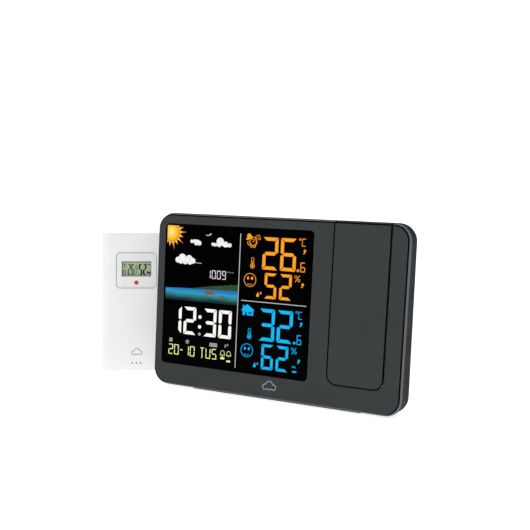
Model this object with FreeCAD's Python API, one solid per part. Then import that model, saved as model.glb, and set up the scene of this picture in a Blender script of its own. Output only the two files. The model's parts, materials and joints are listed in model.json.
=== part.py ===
"""Home weather station: a table console with a tilting projector arm, and its outdoor sensor.

Row frame, in millimetres: the origin is the centre of the console's foot bar on the table,
+X is to the right seen from the front, +Y goes to the back and +Z is up.

Each housing is modelled upright in a frame of its own, with x across, y from the front face
to the back and z from the lower edge, and is then leaned back and set on the table.
"""
import FreeCAD, Part
import math
import os

V = FreeCAD.Vector
X_AXIS, Y_AXIS, Z_AXIS = V(1, 0, 0), V(0, 1, 0), V(0, 0, 1)

# ---- console: outer form -------------------------------------------------------------
BODY_W, BODY_H = 193.0, 128.0
BODY_CORNER_R = 12.0
REAR_Y_AT_BOTTOM = 20.6          # depth of the case at its lower edge
REAR_TAPER = 0.033               # loss of depth per millimetre of height
REAR_EDGE_R = 3.0
RIM_CHAMFER_OUT, RIM_CHAMFER_DEEP = 1.0, 3.0
RIM_SET_BACK = 1.2               # from the fascia's face back to the rim's lip
RIM_LIP = 0.2                    # flat width of the rim at the front
SHADOW_GAP, GAP_FLOOR_Y = 0.9, 3.4
LOWER_GAP = 0.35                 # the gap is narrower under the fascia
WALL = 2.2
PARTING_Y = 13.0                 # where the rear cover meets the middle case
PARTING_GAP = 0.1

# ---- console: fascia, window and display ---------------------------------------------
FASCIA_THICK = 2.2
FASCIA_INSET = RIM_CHAMFER_OUT + RIM_LIP + SHADOW_GAP
WINDOW_X, WINDOW_Z = (-89.0, 29.4), (16.7, 120.2)
WINDOW_R, WINDOW_RECESS, WINDOW_THICK, WINDOW_CLEAR = 3.0, 0.3, 1.5, 0.1
LEDGE = 1.2                      # fascia ledge behind the window pane
LCD_MARGIN, LCD_THICK, GUIDE_THICK = 2.2, 2.8, 2.6
BOARD_Y, BOARD_THICK = 9.4, 1.6

# ---- projector arm -------------------------------------------------------------------
SLOT_X, SLOT_Z, SLOT_R = (43.15, 84.05), 16.65, 7.6
ARM_GAP, ARM_PROUD = 1.2, 0.6
SLOT_WALL = 1.8
ARM_X = (SLOT_X[0] + ARM_GAP, SLOT_X[1] - ARM_GAP)
ARM_Z = SLOT_Z + ARM_GAP
ARM_MID = (ARM_X[0] + ARM_X[1]) / 2
ARM_WALL = 1.8
ARM_SPLIT_Y = 9.0                # front shell ahead of it, rear shell behind it
PIVOT_Y, PIVOT_Z = 9.6, 28.0
PIVOT_R, PIVOT_CLEAR = 3.0, 0.05
LENS_Y = 8.6
LENS_HOLE_R, BARREL_R, LENS_R = 4.4, 6.0, 5.0
FOCUS_X, FOCUS_Y, FOCUS_Z = ARM_MID + 12.0, 11.6, 98.0
FOCUS_R, FOCUS_W, PINION_R = 7.0, 4.0, 1.9

# ---- console: how it stands ----------------------------------------------------------
LEAN = 6.11                      # degrees that the console leans back
STAND_SHIFT_Y, STAND_SHIFT_Z = -14.9, 2.6
FOOT_HALF, FOOT_Y, FOOT_TALL = 66.4, (-6.15, 4.75), 5.0
KICK_HALF, KICK_LONG, KICK_THICK = 30.0, 34.0, 3.0
KICK_PIN_R, KICK_RAISE = 1.3, 5.2   # hinge pin radius, and its height up the back

# ---- outdoor sensor ------------------------------------------------------------------
SENSOR_W, SENSOR_H, SENSOR_D = 56.4, 110.0, 21.0
SENSOR_FRONT_R, SENSOR_BACK_R, SENSOR_END_R = 6.0, 3.0, 0.6
SENSOR_WALL = 1.8
SENSOR_SPLIT_Y = 9.0
SENSOR_LEAN, SENSOR_YAW = 10.84, 26.24
SENSOR_AT = (-128.7, 10.7)       # where its lower front edge stands
SENSOR_RAISE = 1.3
SENSOR_WINDOW = (31.8, 27.9, 80.0)   # width, height and centre height
SENSOR_VIEW = (23.5, 12.0, 81.2)


# ---- shape helpers -------------------------------------------------------------------
def box(x, y, z):
    """Box between pairs of limits."""
    return Part.makeBox(x[1] - x[0], y[1] - y[0], z[1] - z[0], V(x[0], y[0], z[0]))


def rod(radius, start, end):
    """Round bar from one point to another."""
    a, b = V(*start), V(*end)
    return Part.makeCylinder(radius, (b - a).Length, a, b - a)


def tube(outer, inner, start, end):
    """Round bar with a hole along it."""
    return rod(outer, start, end).cut(rod(inner, start, end))


def edges_along(shape, axis):
    """Straight edges of a shape that run along an axis."""
    found = []
    for edge in shape.Edges:
        if isinstance(edge.Curve, Part.Line) and abs(abs(edge.Curve.Direction.dot(axis)) - 1) < 1e-6:
            found.append(edge)
    return found


def plate(x, z, radius, y):
    """Upright plate with rounded corners, facing the front."""
    block = box(x, y, z)
    return block.makeFillet(radius, edges_along(block, Y_AXIS)) if radius else block


def corner_wire(x, z, radius, y):
    """Outline of a rounded plate at one depth."""
    face = min(plate(x, z, radius, (y, y + 1)).Faces, key=lambda f: f.CenterOfMass.y)
    return face.OuterWire


def inset_plate(inset, y):
    """Rounded plate that follows the console's outline at an inset."""
    half = BODY_W / 2 - inset
    return plate((-half, half), (inset, BODY_H - inset), BODY_CORNER_R - inset, y)


def group(parts):
    return Part.makeCompound(parts)


def fuse(parts):
    first, rest = parts[0], parts[1:]
    return first.fuse(rest).removeSplitter() if rest else first


def spin(shape, centre, axis, degrees):
    """Copy of a shape turned about an axis."""
    turned = shape.copy()
    turned.rotate(V(*centre), axis, degrees)
    return turned


def rear_y(z, inward=0.0):
    """Depth of the console's sloping back at a height, less a distance inwards."""
    return REAR_Y_AT_BOTTOM - REAR_TAPER * z - inward


def ahead_of_back(inward):
    """Everything ahead of the console's sloping back, less a distance inwards."""
    low, high = -20.0, BODY_H + 20.0
    points = [V(0, -5, low), V(0, rear_y(low, inward), low), V(0, rear_y(high, inward), high), V(0, -5, high)]
    face = Part.Face(Part.makePolygon(points + points[:1]))
    side = face.extrude(V(BODY_W + 20, 0, 0))
    side.translate(V(-BODY_W / 2 - 10, 0, 0))
    return side


TAPER_DEG = math.degrees(math.atan(REAR_TAPER))


def on_back(shape):
    """Set a piece, modelled with y = 0 as the back's outer face, onto the sloping back."""
    turned = spin(shape, (0, 0, 0), X_AXIS, TAPER_DEG)
    turned.translate(V(0, REAR_Y_AT_BOTTOM, 0))
    return turned


def stand_console(shape):
    """Lean an upright console piece back and set it on the table."""
    placed = spin(shape, (0, 0, 0), X_AXIS, -LEAN)
    placed.translate(V(0, STAND_SHIFT_Y, STAND_SHIFT_Z))
    return placed


def stand_sensor(shape):
    """Lean an upright sensor piece back, turn it and set it on the table."""
    placed = spin(shape, (0, 0, 0), X_AXIS, -SENSOR_LEAN)
    placed.rotate(V(0, 0, 0), Z_AXIS, SENSOR_YAW)
    placed.translate(V(SENSOR_AT[0], SENSOR_AT[1], SENSOR_RAISE))
    return placed


def save(name, shape):
    """Write one node, and say what it holds."""
    if not shape.isValid() or shape.Volume <= 0:
        raise RuntimeError(name + " is not a valid solid")
    shape.exportStep(os.path.join("parts", name + ".step"))
    print(f"{name}: {len(shape.Solids)} solid(s), {shape.Volume / 1000:.2f} cm3")


# ---- console: outer form -------------------------------------------------------------
def console_outer():
    """Whole outer form of the console, arm included, with its chamfered front rim."""
    half, lip = BODY_W / 2, RIM_CHAMFER_OUT
    full_y = RIM_SET_BACK + RIM_CHAMFER_DEEP
    front = corner_wire((-half + lip, half - lip), (lip, BODY_H - lip), BODY_CORNER_R - lip, RIM_SET_BACK)
    full = corner_wire((-half, half), (0, BODY_H), BODY_CORNER_R, full_y)
    rim = Part.makeLoft([front, full], True, True)
    main = inset_plate(0, (full_y, 30)).common(ahead_of_back(0))
    back = [e for e in main.Edges
            if all(abs(v.Point.y - rear_y(v.Point.z)) < 1e-4 for v in e.Vertexes)]
    main = main.makeFillet(REAR_EDGE_R, back)
    return rim.fuse(main).removeSplitter()


def slot_column(grow, radius=0.0):
    """Column that the arm stands in, open at the top, grown outwards by a distance."""
    return plate((SLOT_X[0] - grow, SLOT_X[1] + grow), (SLOT_Z - grow, BODY_H + 40), radius, (-5, 40))


def case_cavity(y):
    """Hollow of the console between two depths, clear of the arm's slot walls."""
    return inset_plate(WALL, y).common(ahead_of_back(WALL)).cut(slot_column(SLOT_WALL))


# Screw places: x, z of the five case screws, each with the way its boss is ribbed to a wall.
CASE_BOSSES = {(-89.2, 9.0): (-1, 0), (36.4, 7.4): (0, -1), (36.4, 113.0): (1, 0),
               (90.0, 108.0): (-1, 0), (90.0, 24.0): (-1, 0)}
CASE_SCREWS = list(CASE_BOSSES)
BOSS_RIB_LONG, BOSS_RIB_HALF = 5.4, 0.8
SCREW_R, SCREW_HEAD_R, BOSS_R, SCREW_CLEAR = 1.2, 2.3, 2.8, 0.05
BOARD_X, BOARD_Z = (-86.0, 29.0), (19.0, 118.0)
BOARD_SCREWS = [(x, z) for x in (BOARD_X[0] + 3, BOARD_X[1] - 3) for z in (BOARD_Z[0] + 3, BOARD_Z[1] - 3)]
KEY_X = [-78.0 + 15.0 * i for i in range(6)]
KEY_Z, KEY_W, KEY_H = 106.0, 10.0, 4.8
SNOOZE_X, SNOOZE_W, SNOOZE_D = -28.0, 34.0, 6.0
SNOOZE_Y = 8.6
JACK_X, JACK_Z, JACK_SIDE = 63.6, 8.6, 8.6
JACK_HOLE_R, JACK_PIN_R = 2.8, 0.65
CELL_X, CELL_Z, CELL_R, CELL_THICK = -58.0, 46.0, 10.0, 3.2
DOOR_R, DOOR_THICK = 14.0, 1.6
CELL_FACE = DOOR_THICK + 0.4         # from the back's outer face in to the cell
SENSE_X, SENSE_Z = 90.0, 66.0
BACK_SEAT = 1.5                      # depth of the screw heads' counterbores
FIT = 0.12                           # clearance round keys and covers


def rim_opening(y):
    """Space inside the rim, whose lip is wider along the lower edge."""
    above = box((-200, 200), (y[0] - 1, y[1] + 1), (FASCIA_INSET - LOWER_GAP, 200))
    return inset_plate(RIM_CHAMFER_OUT + RIM_LIP, y).common(above)


def shadow_gap():
    """Groove round the fascia, inside the rim, over the whole front."""
    groove = rim_opening((-1, GAP_FLOOR_Y))
    return groove.cut(inset_plate(FASCIA_INSET, (-2, GAP_FLOOR_Y + 1)))


def front_fascia():
    """Flush front plate with the window opening and the arm's slot."""
    shape = inset_plate(FASCIA_INSET, (0, FASCIA_THICK))
    seat = (WINDOW_RECESS + WINDOW_THICK)
    shape = shape.cut(plate(WINDOW_X, WINDOW_Z, WINDOW_R, (-1, seat)))
    inner_x = (WINDOW_X[0] + LEDGE, WINDOW_X[1] - LEDGE)
    inner_z = (WINDOW_Z[0] + LEDGE, WINDOW_Z[1] - LEDGE)
    shape = shape.cut(plate(inner_x, inner_z, WINDOW_R - LEDGE, (seat - 1, 5)))
    return shape.cut(slot_column(0, SLOT_R))


def middle_case():
    """Side walls, front ledge and slot walls, with the screw bosses."""
    recess = rim_opening((-1, FASCIA_THICK))
    ledge_back = FASCIA_THICK + 1.8
    shape = OUTER.common(box((-200, 200), (-1, PARTING_Y), (-5, 200)))
    shape = shape.cut(recess).cut(shadow_gap()).cut(slot_column(0))
    shape = shape.cut(case_cavity((ledge_back, PARTING_Y + 1)))
    ledge_hole = inset_plate(WALL + 1.6, (0, ledge_back + 1)).cut(slot_column(SLOT_WALL + 1.0))
    shape = shape.cut(ledge_hole)
    bosses = []
    for (x, z), (dx, dz) in CASE_BOSSES.items():
        bosses.append(rod(BOSS_R, (x, FASCIA_THICK, z), (x, PARTING_Y, z)))
        end_x, end_z = x + dx * BOSS_RIB_LONG, z + dz * BOSS_RIB_LONG
        rib_x = (min(x, end_x) - abs(dz) * BOSS_RIB_HALF, max(x, end_x) + abs(dz) * BOSS_RIB_HALF)
        rib_z = (min(z, end_z) - abs(dx) * BOSS_RIB_HALF, max(z, end_z) + abs(dx) * BOSS_RIB_HALF)
        bosses.append(box(rib_x, (ledge_back, PARTING_Y), rib_z))
    shape = fuse([shape] + bosses)
    for x, z in CASE_SCREWS:
        shape = shape.cut(rod(SCREW_R + SCREW_CLEAR, (x, 3.5, z), (x, 20, z)))
    shape = shape.cut(snooze_well())
    return shape.cut(group([pin.copy() for pin in pivot_rods(0)])).removeSplitter()


def snooze_well():
    """Opening in the top wall for the snooze key."""
    half, deep = SNOOZE_W / 2 + FIT, SNOOZE_D / 2 + FIT
    y = (SNOOZE_Y - deep, SNOOZE_Y + deep)
    return box((SNOOZE_X - half, SNOOZE_X + half), y, (BODY_H - WALL - 1, BODY_H + 5))


def kick_recess():
    """Recess in the back that the folded kickstand lies in, open at the lower edge."""
    half = KICK_HALF + 0.4
    top = KICK_RAISE + KICK_LONG + 1.2
    return box((-half, half), (-KICK_THICK - 0.7, 10), (-5, top))


def rear_cover():
    """Back panel with the key holes, cell opening, vents, kickstand recess and jack hole."""
    shape = OUTER.common(box((-200, 200), (PARTING_Y + PARTING_GAP, 60), (-5, 200)))
    cavity = case_cavity((0, 30))
    pocket = on_back(box((-KICK_HALF - 2.2, KICK_HALF + 2.2), (-KICK_THICK - 2.3, 1),
                         (-5, KICK_RAISE + KICK_LONG + 3)))
    shape = shape.cut(cavity.cut(pocket)).cut(slot_column(0))
    shape = shape.cut(on_back(kick_recess()))
    for x in KEY_X:
        half_w, half_h = KEY_W / 2 + FIT, KEY_H / 2 + FIT
        hole = plate((x - half_w, x + half_w), (KEY_Z - half_h, KEY_Z + half_h), KEY_H / 2, (-6, 4))
        shape = shape.cut(on_back(hole))
    ring = rod(DOOR_R + 2.0, (CELL_X, -CELL_FACE - CELL_THICK, CELL_Z), (CELL_X, -1, CELL_Z))
    shape = shape.fuse(on_back(ring))
    cell_hole = rod(CELL_R + 0.4, (CELL_X, -9, CELL_Z), (CELL_X, 3, CELL_Z))
    door_hole = rod(DOOR_R + 0.15, (CELL_X, -DOOR_THICK - 0.05, CELL_Z), (CELL_X, 3, CELL_Z))
    shape = shape.cut(on_back(cell_hole)).cut(on_back(door_hole))
    for i in range(7):
        z = SENSE_Z - 9 + 3 * i
        shape = shape.cut(on_back(box((SENSE_X - 3.5, SENSE_X + 1.5), (-6, 3), (z - 0.5, z + 0.5))))
    shape = shape.cut(rod(JACK_HOLE_R + 0.6, (JACK_X, 10, JACK_Z), (JACK_X, 30, JACK_Z)))
    for x, z in CASE_SCREWS:
        face = rear_y(z)
        post = rod(BOSS_R + 0.6, (x, PARTING_Y + PARTING_GAP, z), (x, face - 1, z))
        shape = shape.fuse(post)
        shape = shape.cut(rod(SCREW_R + 0.2, (x, 10, z), (x, 30, z)))
        shape = shape.cut(rod(SCREW_HEAD_R + 0.2, (x, face - BACK_SEAT - 0.6, z), (x, 30, z)))
    for pin in kick_pins():
        shape = shape.cut(pin)
    return shape.cut(case_outside()).removeSplitter()


def case_outside():
    """Ring round the console's outline, to trim what stands out of the case."""
    return box((-120, 120), (-5, 40), (-20, 150)).cut(inset_plate(0, (-6, 41)))


def kick_pins():
    """Two pins that the kickstand turns on."""
    pins = []
    for side in (-1, 1):
        start, end = side * (KICK_HALF - 5), side * (KICK_HALF + 2.0)
        pins.append(on_back(rod(KICK_PIN_R, (start, -KICK_THICK / 2 - 0.4, KICK_RAISE),
                                (end, -KICK_THICK / 2 - 0.4, KICK_RAISE))))
    return pins


def pivot_rods(grow):
    """Two pins that the arm turns on, through the slot walls."""
    rods = []
    for x, side in ((SLOT_X[0], 1), (SLOT_X[1], -1)):
        rods.append(rod(PIVOT_R + grow, (x - side * SLOT_WALL, PIVOT_Y, PIVOT_Z),
                        (x + side * 4.5, PIVOT_Y, PIVOT_Z)))
    return rods


def display_window():
    c = WINDOW_CLEAR
    return plate((WINDOW_X[0] + c, WINDOW_X[1] - c), (WINDOW_Z[0] + c, WINDOW_Z[1] - c), WINDOW_R - c,
                 (WINDOW_RECESS, WINDOW_RECESS + WINDOW_THICK))


LCD_X = (WINDOW_X[0] + LCD_MARGIN, WINDOW_X[1] - LCD_MARGIN)
LCD_Z = (WINDOW_Z[0] + LCD_MARGIN, WINDOW_Z[1] - LCD_MARGIN)
LCD_Y = FASCIA_THICK + 0.2
GUIDE_Y = LCD_Y + LCD_THICK + 0.1
CONNECTOR_ROOM = 3.6
TRAY_BACK = BOARD_Y - 1.0


def lcd_panel():
    return box(LCD_X, (LCD_Y, LCD_Y + LCD_THICK), LCD_Z)


def light_guide():
    z = (LCD_Z[0] + CONNECTOR_ROOM, LCD_Z[1] - CONNECTOR_ROOM)
    return box((LCD_X[0], LCD_X[1] - 2.5), (GUIDE_Y, GUIDE_Y + GUIDE_THICK - 0.6), z)


def backlight_leds():
    """Row of LEDs on a strip, beside the light guide's edge."""
    strip = box((LCD_X[1] - 0.8, LCD_X[1]), (GUIDE_Y, GUIDE_Y + 2.0), LCD_Z)
    leds = [box((LCD_X[1] - 2.4, LCD_X[1] - 0.8), (GUIDE_Y + 0.3, GUIDE_Y + 1.7), (z, z + 3))
            for z in [LCD_Z[0] + 6 + 14 * i for i in range(7)]]
    return fuse([strip] + leds)


def lcd_frame():
    """Tray that holds the display and its light guide in front of the board."""
    rim, c = 1.0, 0.1
    outer = box((LCD_X[0] - rim, LCD_X[1] + rim), (FASCIA_THICK, TRAY_BACK), (LCD_Z[0] - rim, LCD_Z[1] + rim))
    hollow = box((LCD_X[0] - c, LCD_X[1] + c), (0, TRAY_BACK - 0.9), (LCD_Z[0] - c, LCD_Z[1] + c))
    ends = [box((LCD_X[0] + 8, LCD_X[1] - 8), (0, 20), z)
            for z in ((LCD_Z[0] + 0.9, LCD_Z[0] + 3.3), (LCD_Z[1] - 3.3, LCD_Z[1] - 0.9))]
    posts = [rod(2.2, (x, TRAY_BACK - 0.9, z), (x, BOARD_Y, z)) for x, z in BOARD_SCREWS]
    bores = [rod(1.05, (x, 0, z), (x, 20, z)) for x, z in BOARD_SCREWS]
    return fuse([outer.cut(hollow).cut(group(ends))] + posts).cut(group(bores))


def lcd_connectors():
    """Rubber strips that join the glass to the board, above and below the light guide."""
    strips = []
    for z in ((LCD_Z[0] + 1.1, LCD_Z[0] + 3.1), (LCD_Z[1] - 3.1, LCD_Z[1] - 1.1)):
        strips.append(box((LCD_X[0] + 10, LCD_X[1] - 10), (LCD_Y + LCD_THICK, BOARD_Y), z))
    return group(strips)


def main_board():
    shape = box(BOARD_X, (BOARD_Y, BOARD_Y + BOARD_THICK), BOARD_Z)
    for x, z in BOARD_SCREWS:
        shape = shape.cut(rod(1.1, (x, 0, z), (x, 30, z)))
    return shape


def board_screws():
    screws = []
    top = BOARD_Y + BOARD_THICK
    for x, z in BOARD_SCREWS:
        screws.append(rod(1.0, (x, TRAY_BACK - 0.8, z), (x, top, z)).fuse(rod(1.9, (x, top, z), (x, top + 1, z))))
    return group(screws)


def board_chips():
    """Flat packages and coated dies on the board's back."""
    face = BOARD_Y + BOARD_THICK
    places = [(-20, 60, 14, 14), (6, 62, 8, 6), (-36, 84, 10, 6), (8, 88, 6, 6), (-80, 72, 6, 10)]
    return group([box((x, x + w), (face, face + 1.4), (z, z + h)) for x, z, w, h in places])


def key_switches():
    """Push switches under the rear keys and the snooze key."""
    face = BOARD_Y + BOARD_THICK
    rear = [box((x - 2.5, x + 2.5), (face, face + 1.5), (KEY_Z - 2.5, KEY_Z + 2.5)) for x in KEY_X]
    top = box((SNOOZE_X - 3, SNOOZE_X + 3), (BOARD_Y - 0.9, BOARD_Y + BOARD_THICK), (BOARD_Z[1], BOARD_Z[1] + 5))
    return group(rear + [top])


def rear_key(x):
    """Key cap with its retaining flange, over its switch."""
    cap = plate((x - KEY_W / 2, x + KEY_W / 2), (KEY_Z - KEY_H / 2, KEY_Z + KEY_H / 2), KEY_H / 2 - 0.05,
                (-WALL - 0.3, 0.8))
    flange = box((x - KEY_W / 2 - 1.2, x + KEY_W / 2 + 1.2), (-WALL - 0.9, -WALL - 0.25),
                 (KEY_Z - KEY_H / 2 - 1.2, KEY_Z + KEY_H / 2 + 1.2))
    return fuse([on_back(cap), on_back(flange)])


def snooze_key():
    """Flush bar key in the top wall, with a flange under the wall."""
    half, deep = SNOOZE_W / 2, SNOOZE_D / 2
    y = (SNOOZE_Y - deep, SNOOZE_Y + deep)
    cap = box((SNOOZE_X - half, SNOOZE_X + half), y, (BODY_H - WALL - 0.4, BODY_H))
    flange = box((SNOOZE_X - half - 1.2, SNOOZE_X + half + 1.2), (y[0] - 0.9, min(y[1] + 0.9, PARTING_Y - 0.05)),
                 (BODY_H - WALL - 1.1, BODY_H - WALL - 0.3))
    return cap.fuse(flange).removeSplitter()


def backup_cell():
    return on_back(rod(CELL_R, (CELL_X, -CELL_FACE - CELL_THICK, CELL_Z), (CELL_X, -CELL_FACE, CELL_Z)))


def cell_contacts():
    """Sprung strip under the cell and a side strip, both on the board."""
    face = BOARD_Y + BOARD_THICK
    under = box((CELL_X - 6, CELL_X + 6), (face, face + 0.5), (CELL_Z - 2.5, CELL_Z + 2.5))
    finger = box((CELL_X - 1.5, CELL_X + 1.5), (face, face + 2.2), (CELL_Z - 2.5, CELL_Z - 2.0))
    return fuse([under, finger])


def battery_door():
    """Round twist door with a coin slot."""
    disc = rod(DOOR_R, (CELL_X, -DOOR_THICK, CELL_Z), (CELL_X, 0, CELL_Z))
    slot = box((CELL_X - 9, CELL_X + 9), (-0.9, 1), (CELL_Z - 1.2, CELL_Z + 1.2))
    return on_back(disc.cut(slot))


def dc_jack():
    """Power jack with its centre pin and a solder tail."""
    half = JACK_SIDE / 2
    back = rear_y(JACK_Z + half, WALL) - 0.05
    block = box((JACK_X - half, JACK_X + half), (back - 9.0, back), (JACK_Z - half, JACK_Z + half))
    shape = block.cut(rod(JACK_HOLE_R, (JACK_X, back - 7.5, JACK_Z), (JACK_X, 40, JACK_Z)))
    return shape.fuse(rod(JACK_PIN_R, (JACK_X, back - 7.6, JACK_Z), (JACK_X, back - 0.6, JACK_Z))).removeSplitter()


def antenna(part):
    """Ferrite rod or its coil, in the strip under the display."""
    start, end, y, z = -70.0, -22.0, 7.2, 8.5
    if part == "rod":
        return rod(2.4, (start, y, z), (end, y, z))
    return tube(3.3, 2.45, (start + 12, y, z), (end - 12, y, z))


def buzzer():
    disc = rod(5.0, (35.8, 4.6, 60.0), (35.8, 8.6, 60.0))
    return disc.cut(rod(0.8, (35.8, 4.0, 60.0), (35.8, 5.6, 60.0)))


def room_sensor():
    """Small temperature and humidity chip on its own board behind the vent slots."""
    board = box((SENSE_X - 3.2, SENSE_X + 1.6), (9.0, 10.0), (SENSE_Z - 8, SENSE_Z + 8))
    chip = box((SENSE_X - 2.2, SENSE_X + 0.6), (10.0, 11.2), (SENSE_Z - 1.5, SENSE_Z + 1.5))
    return board.fuse(chip).removeSplitter()


def case_screws():
    screws = []
    for x, z in CASE_SCREWS:
        seat = rear_y(z) - BACK_SEAT - 0.6
        head = rod(SCREW_HEAD_R, (x, seat, z), (x, seat + 1.5, z))
        cross = fuse([box((x - 1.4, x + 1.4), (seat + 0.7, seat + 3), (z - 0.25, z + 0.25)),
                      box((x - 0.25, x + 0.25), (seat + 0.7, seat + 3), (z - 1.4, z + 1.4))])
        screws.append(head.fuse(rod(SCREW_R, (x, 4.2, z), (x, seat, z))).cut(cross).removeSplitter())
    return group(screws)


def foot_bar():
    """Long rubber bar under the case that the console stands on, in the row frame."""
    bar = box((-FOOT_HALF, FOOT_HALF), FOOT_Y, (0, FOOT_TALL))
    rounded = bar.makeFillet(2.0, edges_along(bar, Z_AXIS))
    return rounded.cut(stand_console(OUTER))


def kickstand():
    """Fold-out stand, built folded against the back and then swung down to the table."""
    y_mid = -KICK_THICK / 2 - 0.4
    y = (y_mid - KICK_THICK / 2, y_mid + KICK_THICK / 2)
    top = KICK_RAISE + KICK_LONG
    leaf = plate((-KICK_HALF, KICK_HALF), (KICK_RAISE, top), 0, y)
    leaf = leaf.makeFillet(6.0, [e for e in edges_along(leaf, Y_AXIS) if e.CenterOfMass.z > KICK_RAISE + 1])
    barrel = rod(KICK_THICK / 2, (-KICK_HALF, y_mid, KICK_RAISE), (KICK_HALF, y_mid, KICK_RAISE))
    shape = leaf.fuse(barrel).removeSplitter()
    grip = box((-9, 9), (y[0] - 1, y[0] + 1.0), (top - 9, top - 5))
    bores = [rod(KICK_PIN_R + 0.05, (s * (KICK_HALF - 5.5), y_mid, KICK_RAISE),
                 (s * (KICK_HALF + 1), y_mid, KICK_RAISE)) for s in (-1, 1)]
    return on_back(shape.cut(grip).cut(group(bores)))


def kick_pivot():
    """Kickstand's hinge in the row frame."""
    return stand_console(on_back(Part.Vertex(0, -KICK_THICK / 2 - 0.4, KICK_RAISE))).Point


def swing_to_table(height, length, thickness, back_angle):
    """Degrees from folded, lying up the back, down to where the far edge meets the table."""
    reach = math.hypot(length, thickness / 2)
    below = math.degrees(math.asin(height / reach) - math.atan(thickness / 2 / length))
    return 90 + below - back_angle


# ---- projector arm -------------------------------------------------------------------
ARM_SCREWS = [(ARM_MID - 15.0, 48.0), (ARM_MID + 15.0, 48.0), (ARM_MID - 15.0, 112.0)]
LAMP_Z, HOUSING_TOP, BARREL_Z = 70.0, 90.0, (92.0, 124.5)
ARM_HUB_TOP = PIVOT_Z + 7.0


def arm_outer():
    """Arm's outer form: the console's own section, with its lower back corner round the pivot."""
    column = plate(ARM_X, (ARM_Z, BODY_H + 40), SLOT_R - ARM_GAP, (-5, 40))
    face = column.common(box(ARM_X, (-ARM_PROUD, 6), (0, BODY_H - FASCIA_INSET)))
    corner = box((ARM_X[0] - 1, ARM_X[1] + 1), (PIVOT_Y, 40), (0, PIVOT_Z))
    drum = rod(PIVOT_Z - ARM_Z, (ARM_X[0] - 2, PIVOT_Y, PIVOT_Z), (ARM_X[1] + 2, PIVOT_Y, PIVOT_Z))
    return OUTER.common(column).cut(shadow_gap()).fuse(face).removeSplitter().cut(corner.cut(drum))


def arm_shells():
    """Front and rear shell of the arm."""
    inner_x = (ARM_X[0] + ARM_WALL, ARM_X[1] - ARM_WALL)
    cavity = box(inner_x, (2.0, 40), (ARM_HUB_TOP, BODY_H - ARM_WALL)).common(ahead_of_back(ARM_WALL))
    bores = group(pivot_rods(PIVOT_CLEAR) + [rod(LENS_HOLE_R, (ARM_MID, LENS_Y, 120), (ARM_MID, LENS_Y, 140))])
    whole = ARM.cut(cavity).cut(bores)
    front = whole.common(box((0, 120), (-5, ARM_SPLIT_Y), (0, 140)))
    rear = whole.common(box((0, 120), (ARM_SPLIT_Y + 0.08, 40), (0, 140)))
    front = fuse([front] + [rod(2.6, (x, 1.9, z), (x, ARM_SPLIT_Y, z)) for x, z in ARM_SCREWS])
    for x, z in ARM_SCREWS:
        face = rear_y(z)
        front = front.cut(rod(SCREW_R + SCREW_CLEAR, (x, 3.0, z), (x, 20, z)))
        rear = rear.fuse(rod(3.2, (x, ARM_SPLIT_Y + 0.08, z), (x, face - 1, z)))
        rear = rear.cut(rod(SCREW_R + 0.2, (x, 5, z), (x, 30, z)))
        rear = rear.cut(rod(SCREW_HEAD_R + 0.2, (x, face - 2.1, z), (x, 30, z)))
    wheel_window = box((FOCUS_X - FOCUS_W / 2 - 0.5, FOCUS_X + FOCUS_W / 2 + 0.5), (12, 40),
                       (FOCUS_Z - 6.5, FOCUS_Z + 6.5))
    axle = rod(1.0, FOCUS_AXLE[0], FOCUS_AXLE[1])
    return front.removeSplitter(), rear.cut(wheel_window).cut(axle).removeSplitter()


FOCUS_AXLE = ((FOCUS_X - 5.6, FOCUS_Y, FOCUS_Z), (ARM_X[1] - ARM_WALL + 0.9, FOCUS_Y, FOCUS_Z))


def arm_screws():
    screws = []
    for x, z in ARM_SCREWS:
        seat = rear_y(z) - 2.1
        head = rod(SCREW_HEAD_R, (x, seat, z), (x, seat + 1.5, z))
        cross = fuse([box((x - 1.4, x + 1.4), (seat + 0.7, seat + 3), (z - 0.25, z + 0.25)),
                      box((x - 0.25, x + 0.25), (seat + 0.7, seat + 3), (z - 1.4, z + 1.4))])
        screws.append(head.fuse(rod(SCREW_R, (x, 4.0, z), (x, seat, z))).cut(cross).removeSplitter())
    return group(screws)


def friction_washers():
    """Ring on each pivot pin, between the slot wall and the arm."""
    rings = []
    for x, side in ((SLOT_X[0], 1), (SLOT_X[1], -1)):
        end = x + side * (ARM_GAP - 0.2)
        rings.append(tube(5.0, PIVOT_R, (x, PIVOT_Y, PIVOT_Z), (end, PIVOT_Y, PIVOT_Z)))
    return group(rings)


def projector_board():
    return box((ARM_X[0] + ARM_WALL, ARM_X[1] - ARM_WALL), (3.4, 14.0), (LAMP_Z, LAMP_Z + 1.6))


def lens_axis_rod(radius, z):
    """Bar on the projection axis between two heights."""
    return rod(radius, (ARM_MID, LENS_Y, z[0]), (ARM_MID, LENS_Y, z[1]))


def projection_led():
    base = LAMP_Z + 1.6
    body = box((ARM_MID - 2.5, ARM_MID + 2.5), (LENS_Y - 2.5, LENS_Y + 2.5), (base, base + 1.6))
    return body.fuse(lens_axis_rod(1.6, (base + 1.5, base + 2.8))).removeSplitter()


def lamp_housing():
    """Tube that holds the condenser and the projection LCD over the lamp."""
    base = LAMP_Z + 1.6
    outer = lens_axis_rod(6.3, (base, HOUSING_TOP))
    return outer.cut(lens_axis_rod(5.0, (base - 1, 84.0))).cut(lens_axis_rod(5.6, (84.0, 95.0)))


def condenser_lens():
    ball = Part.makeSphere(8.0, V(ARM_MID, LENS_Y, 75.5))
    return lens_axis_rod(4.95, (80.0, 84.0)).common(ball)


def projection_lcd():
    half = 3.9
    return box((ARM_MID - half, ARM_MID + half), (LENS_Y - half, LENS_Y + half), (84.0, 85.6))


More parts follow.
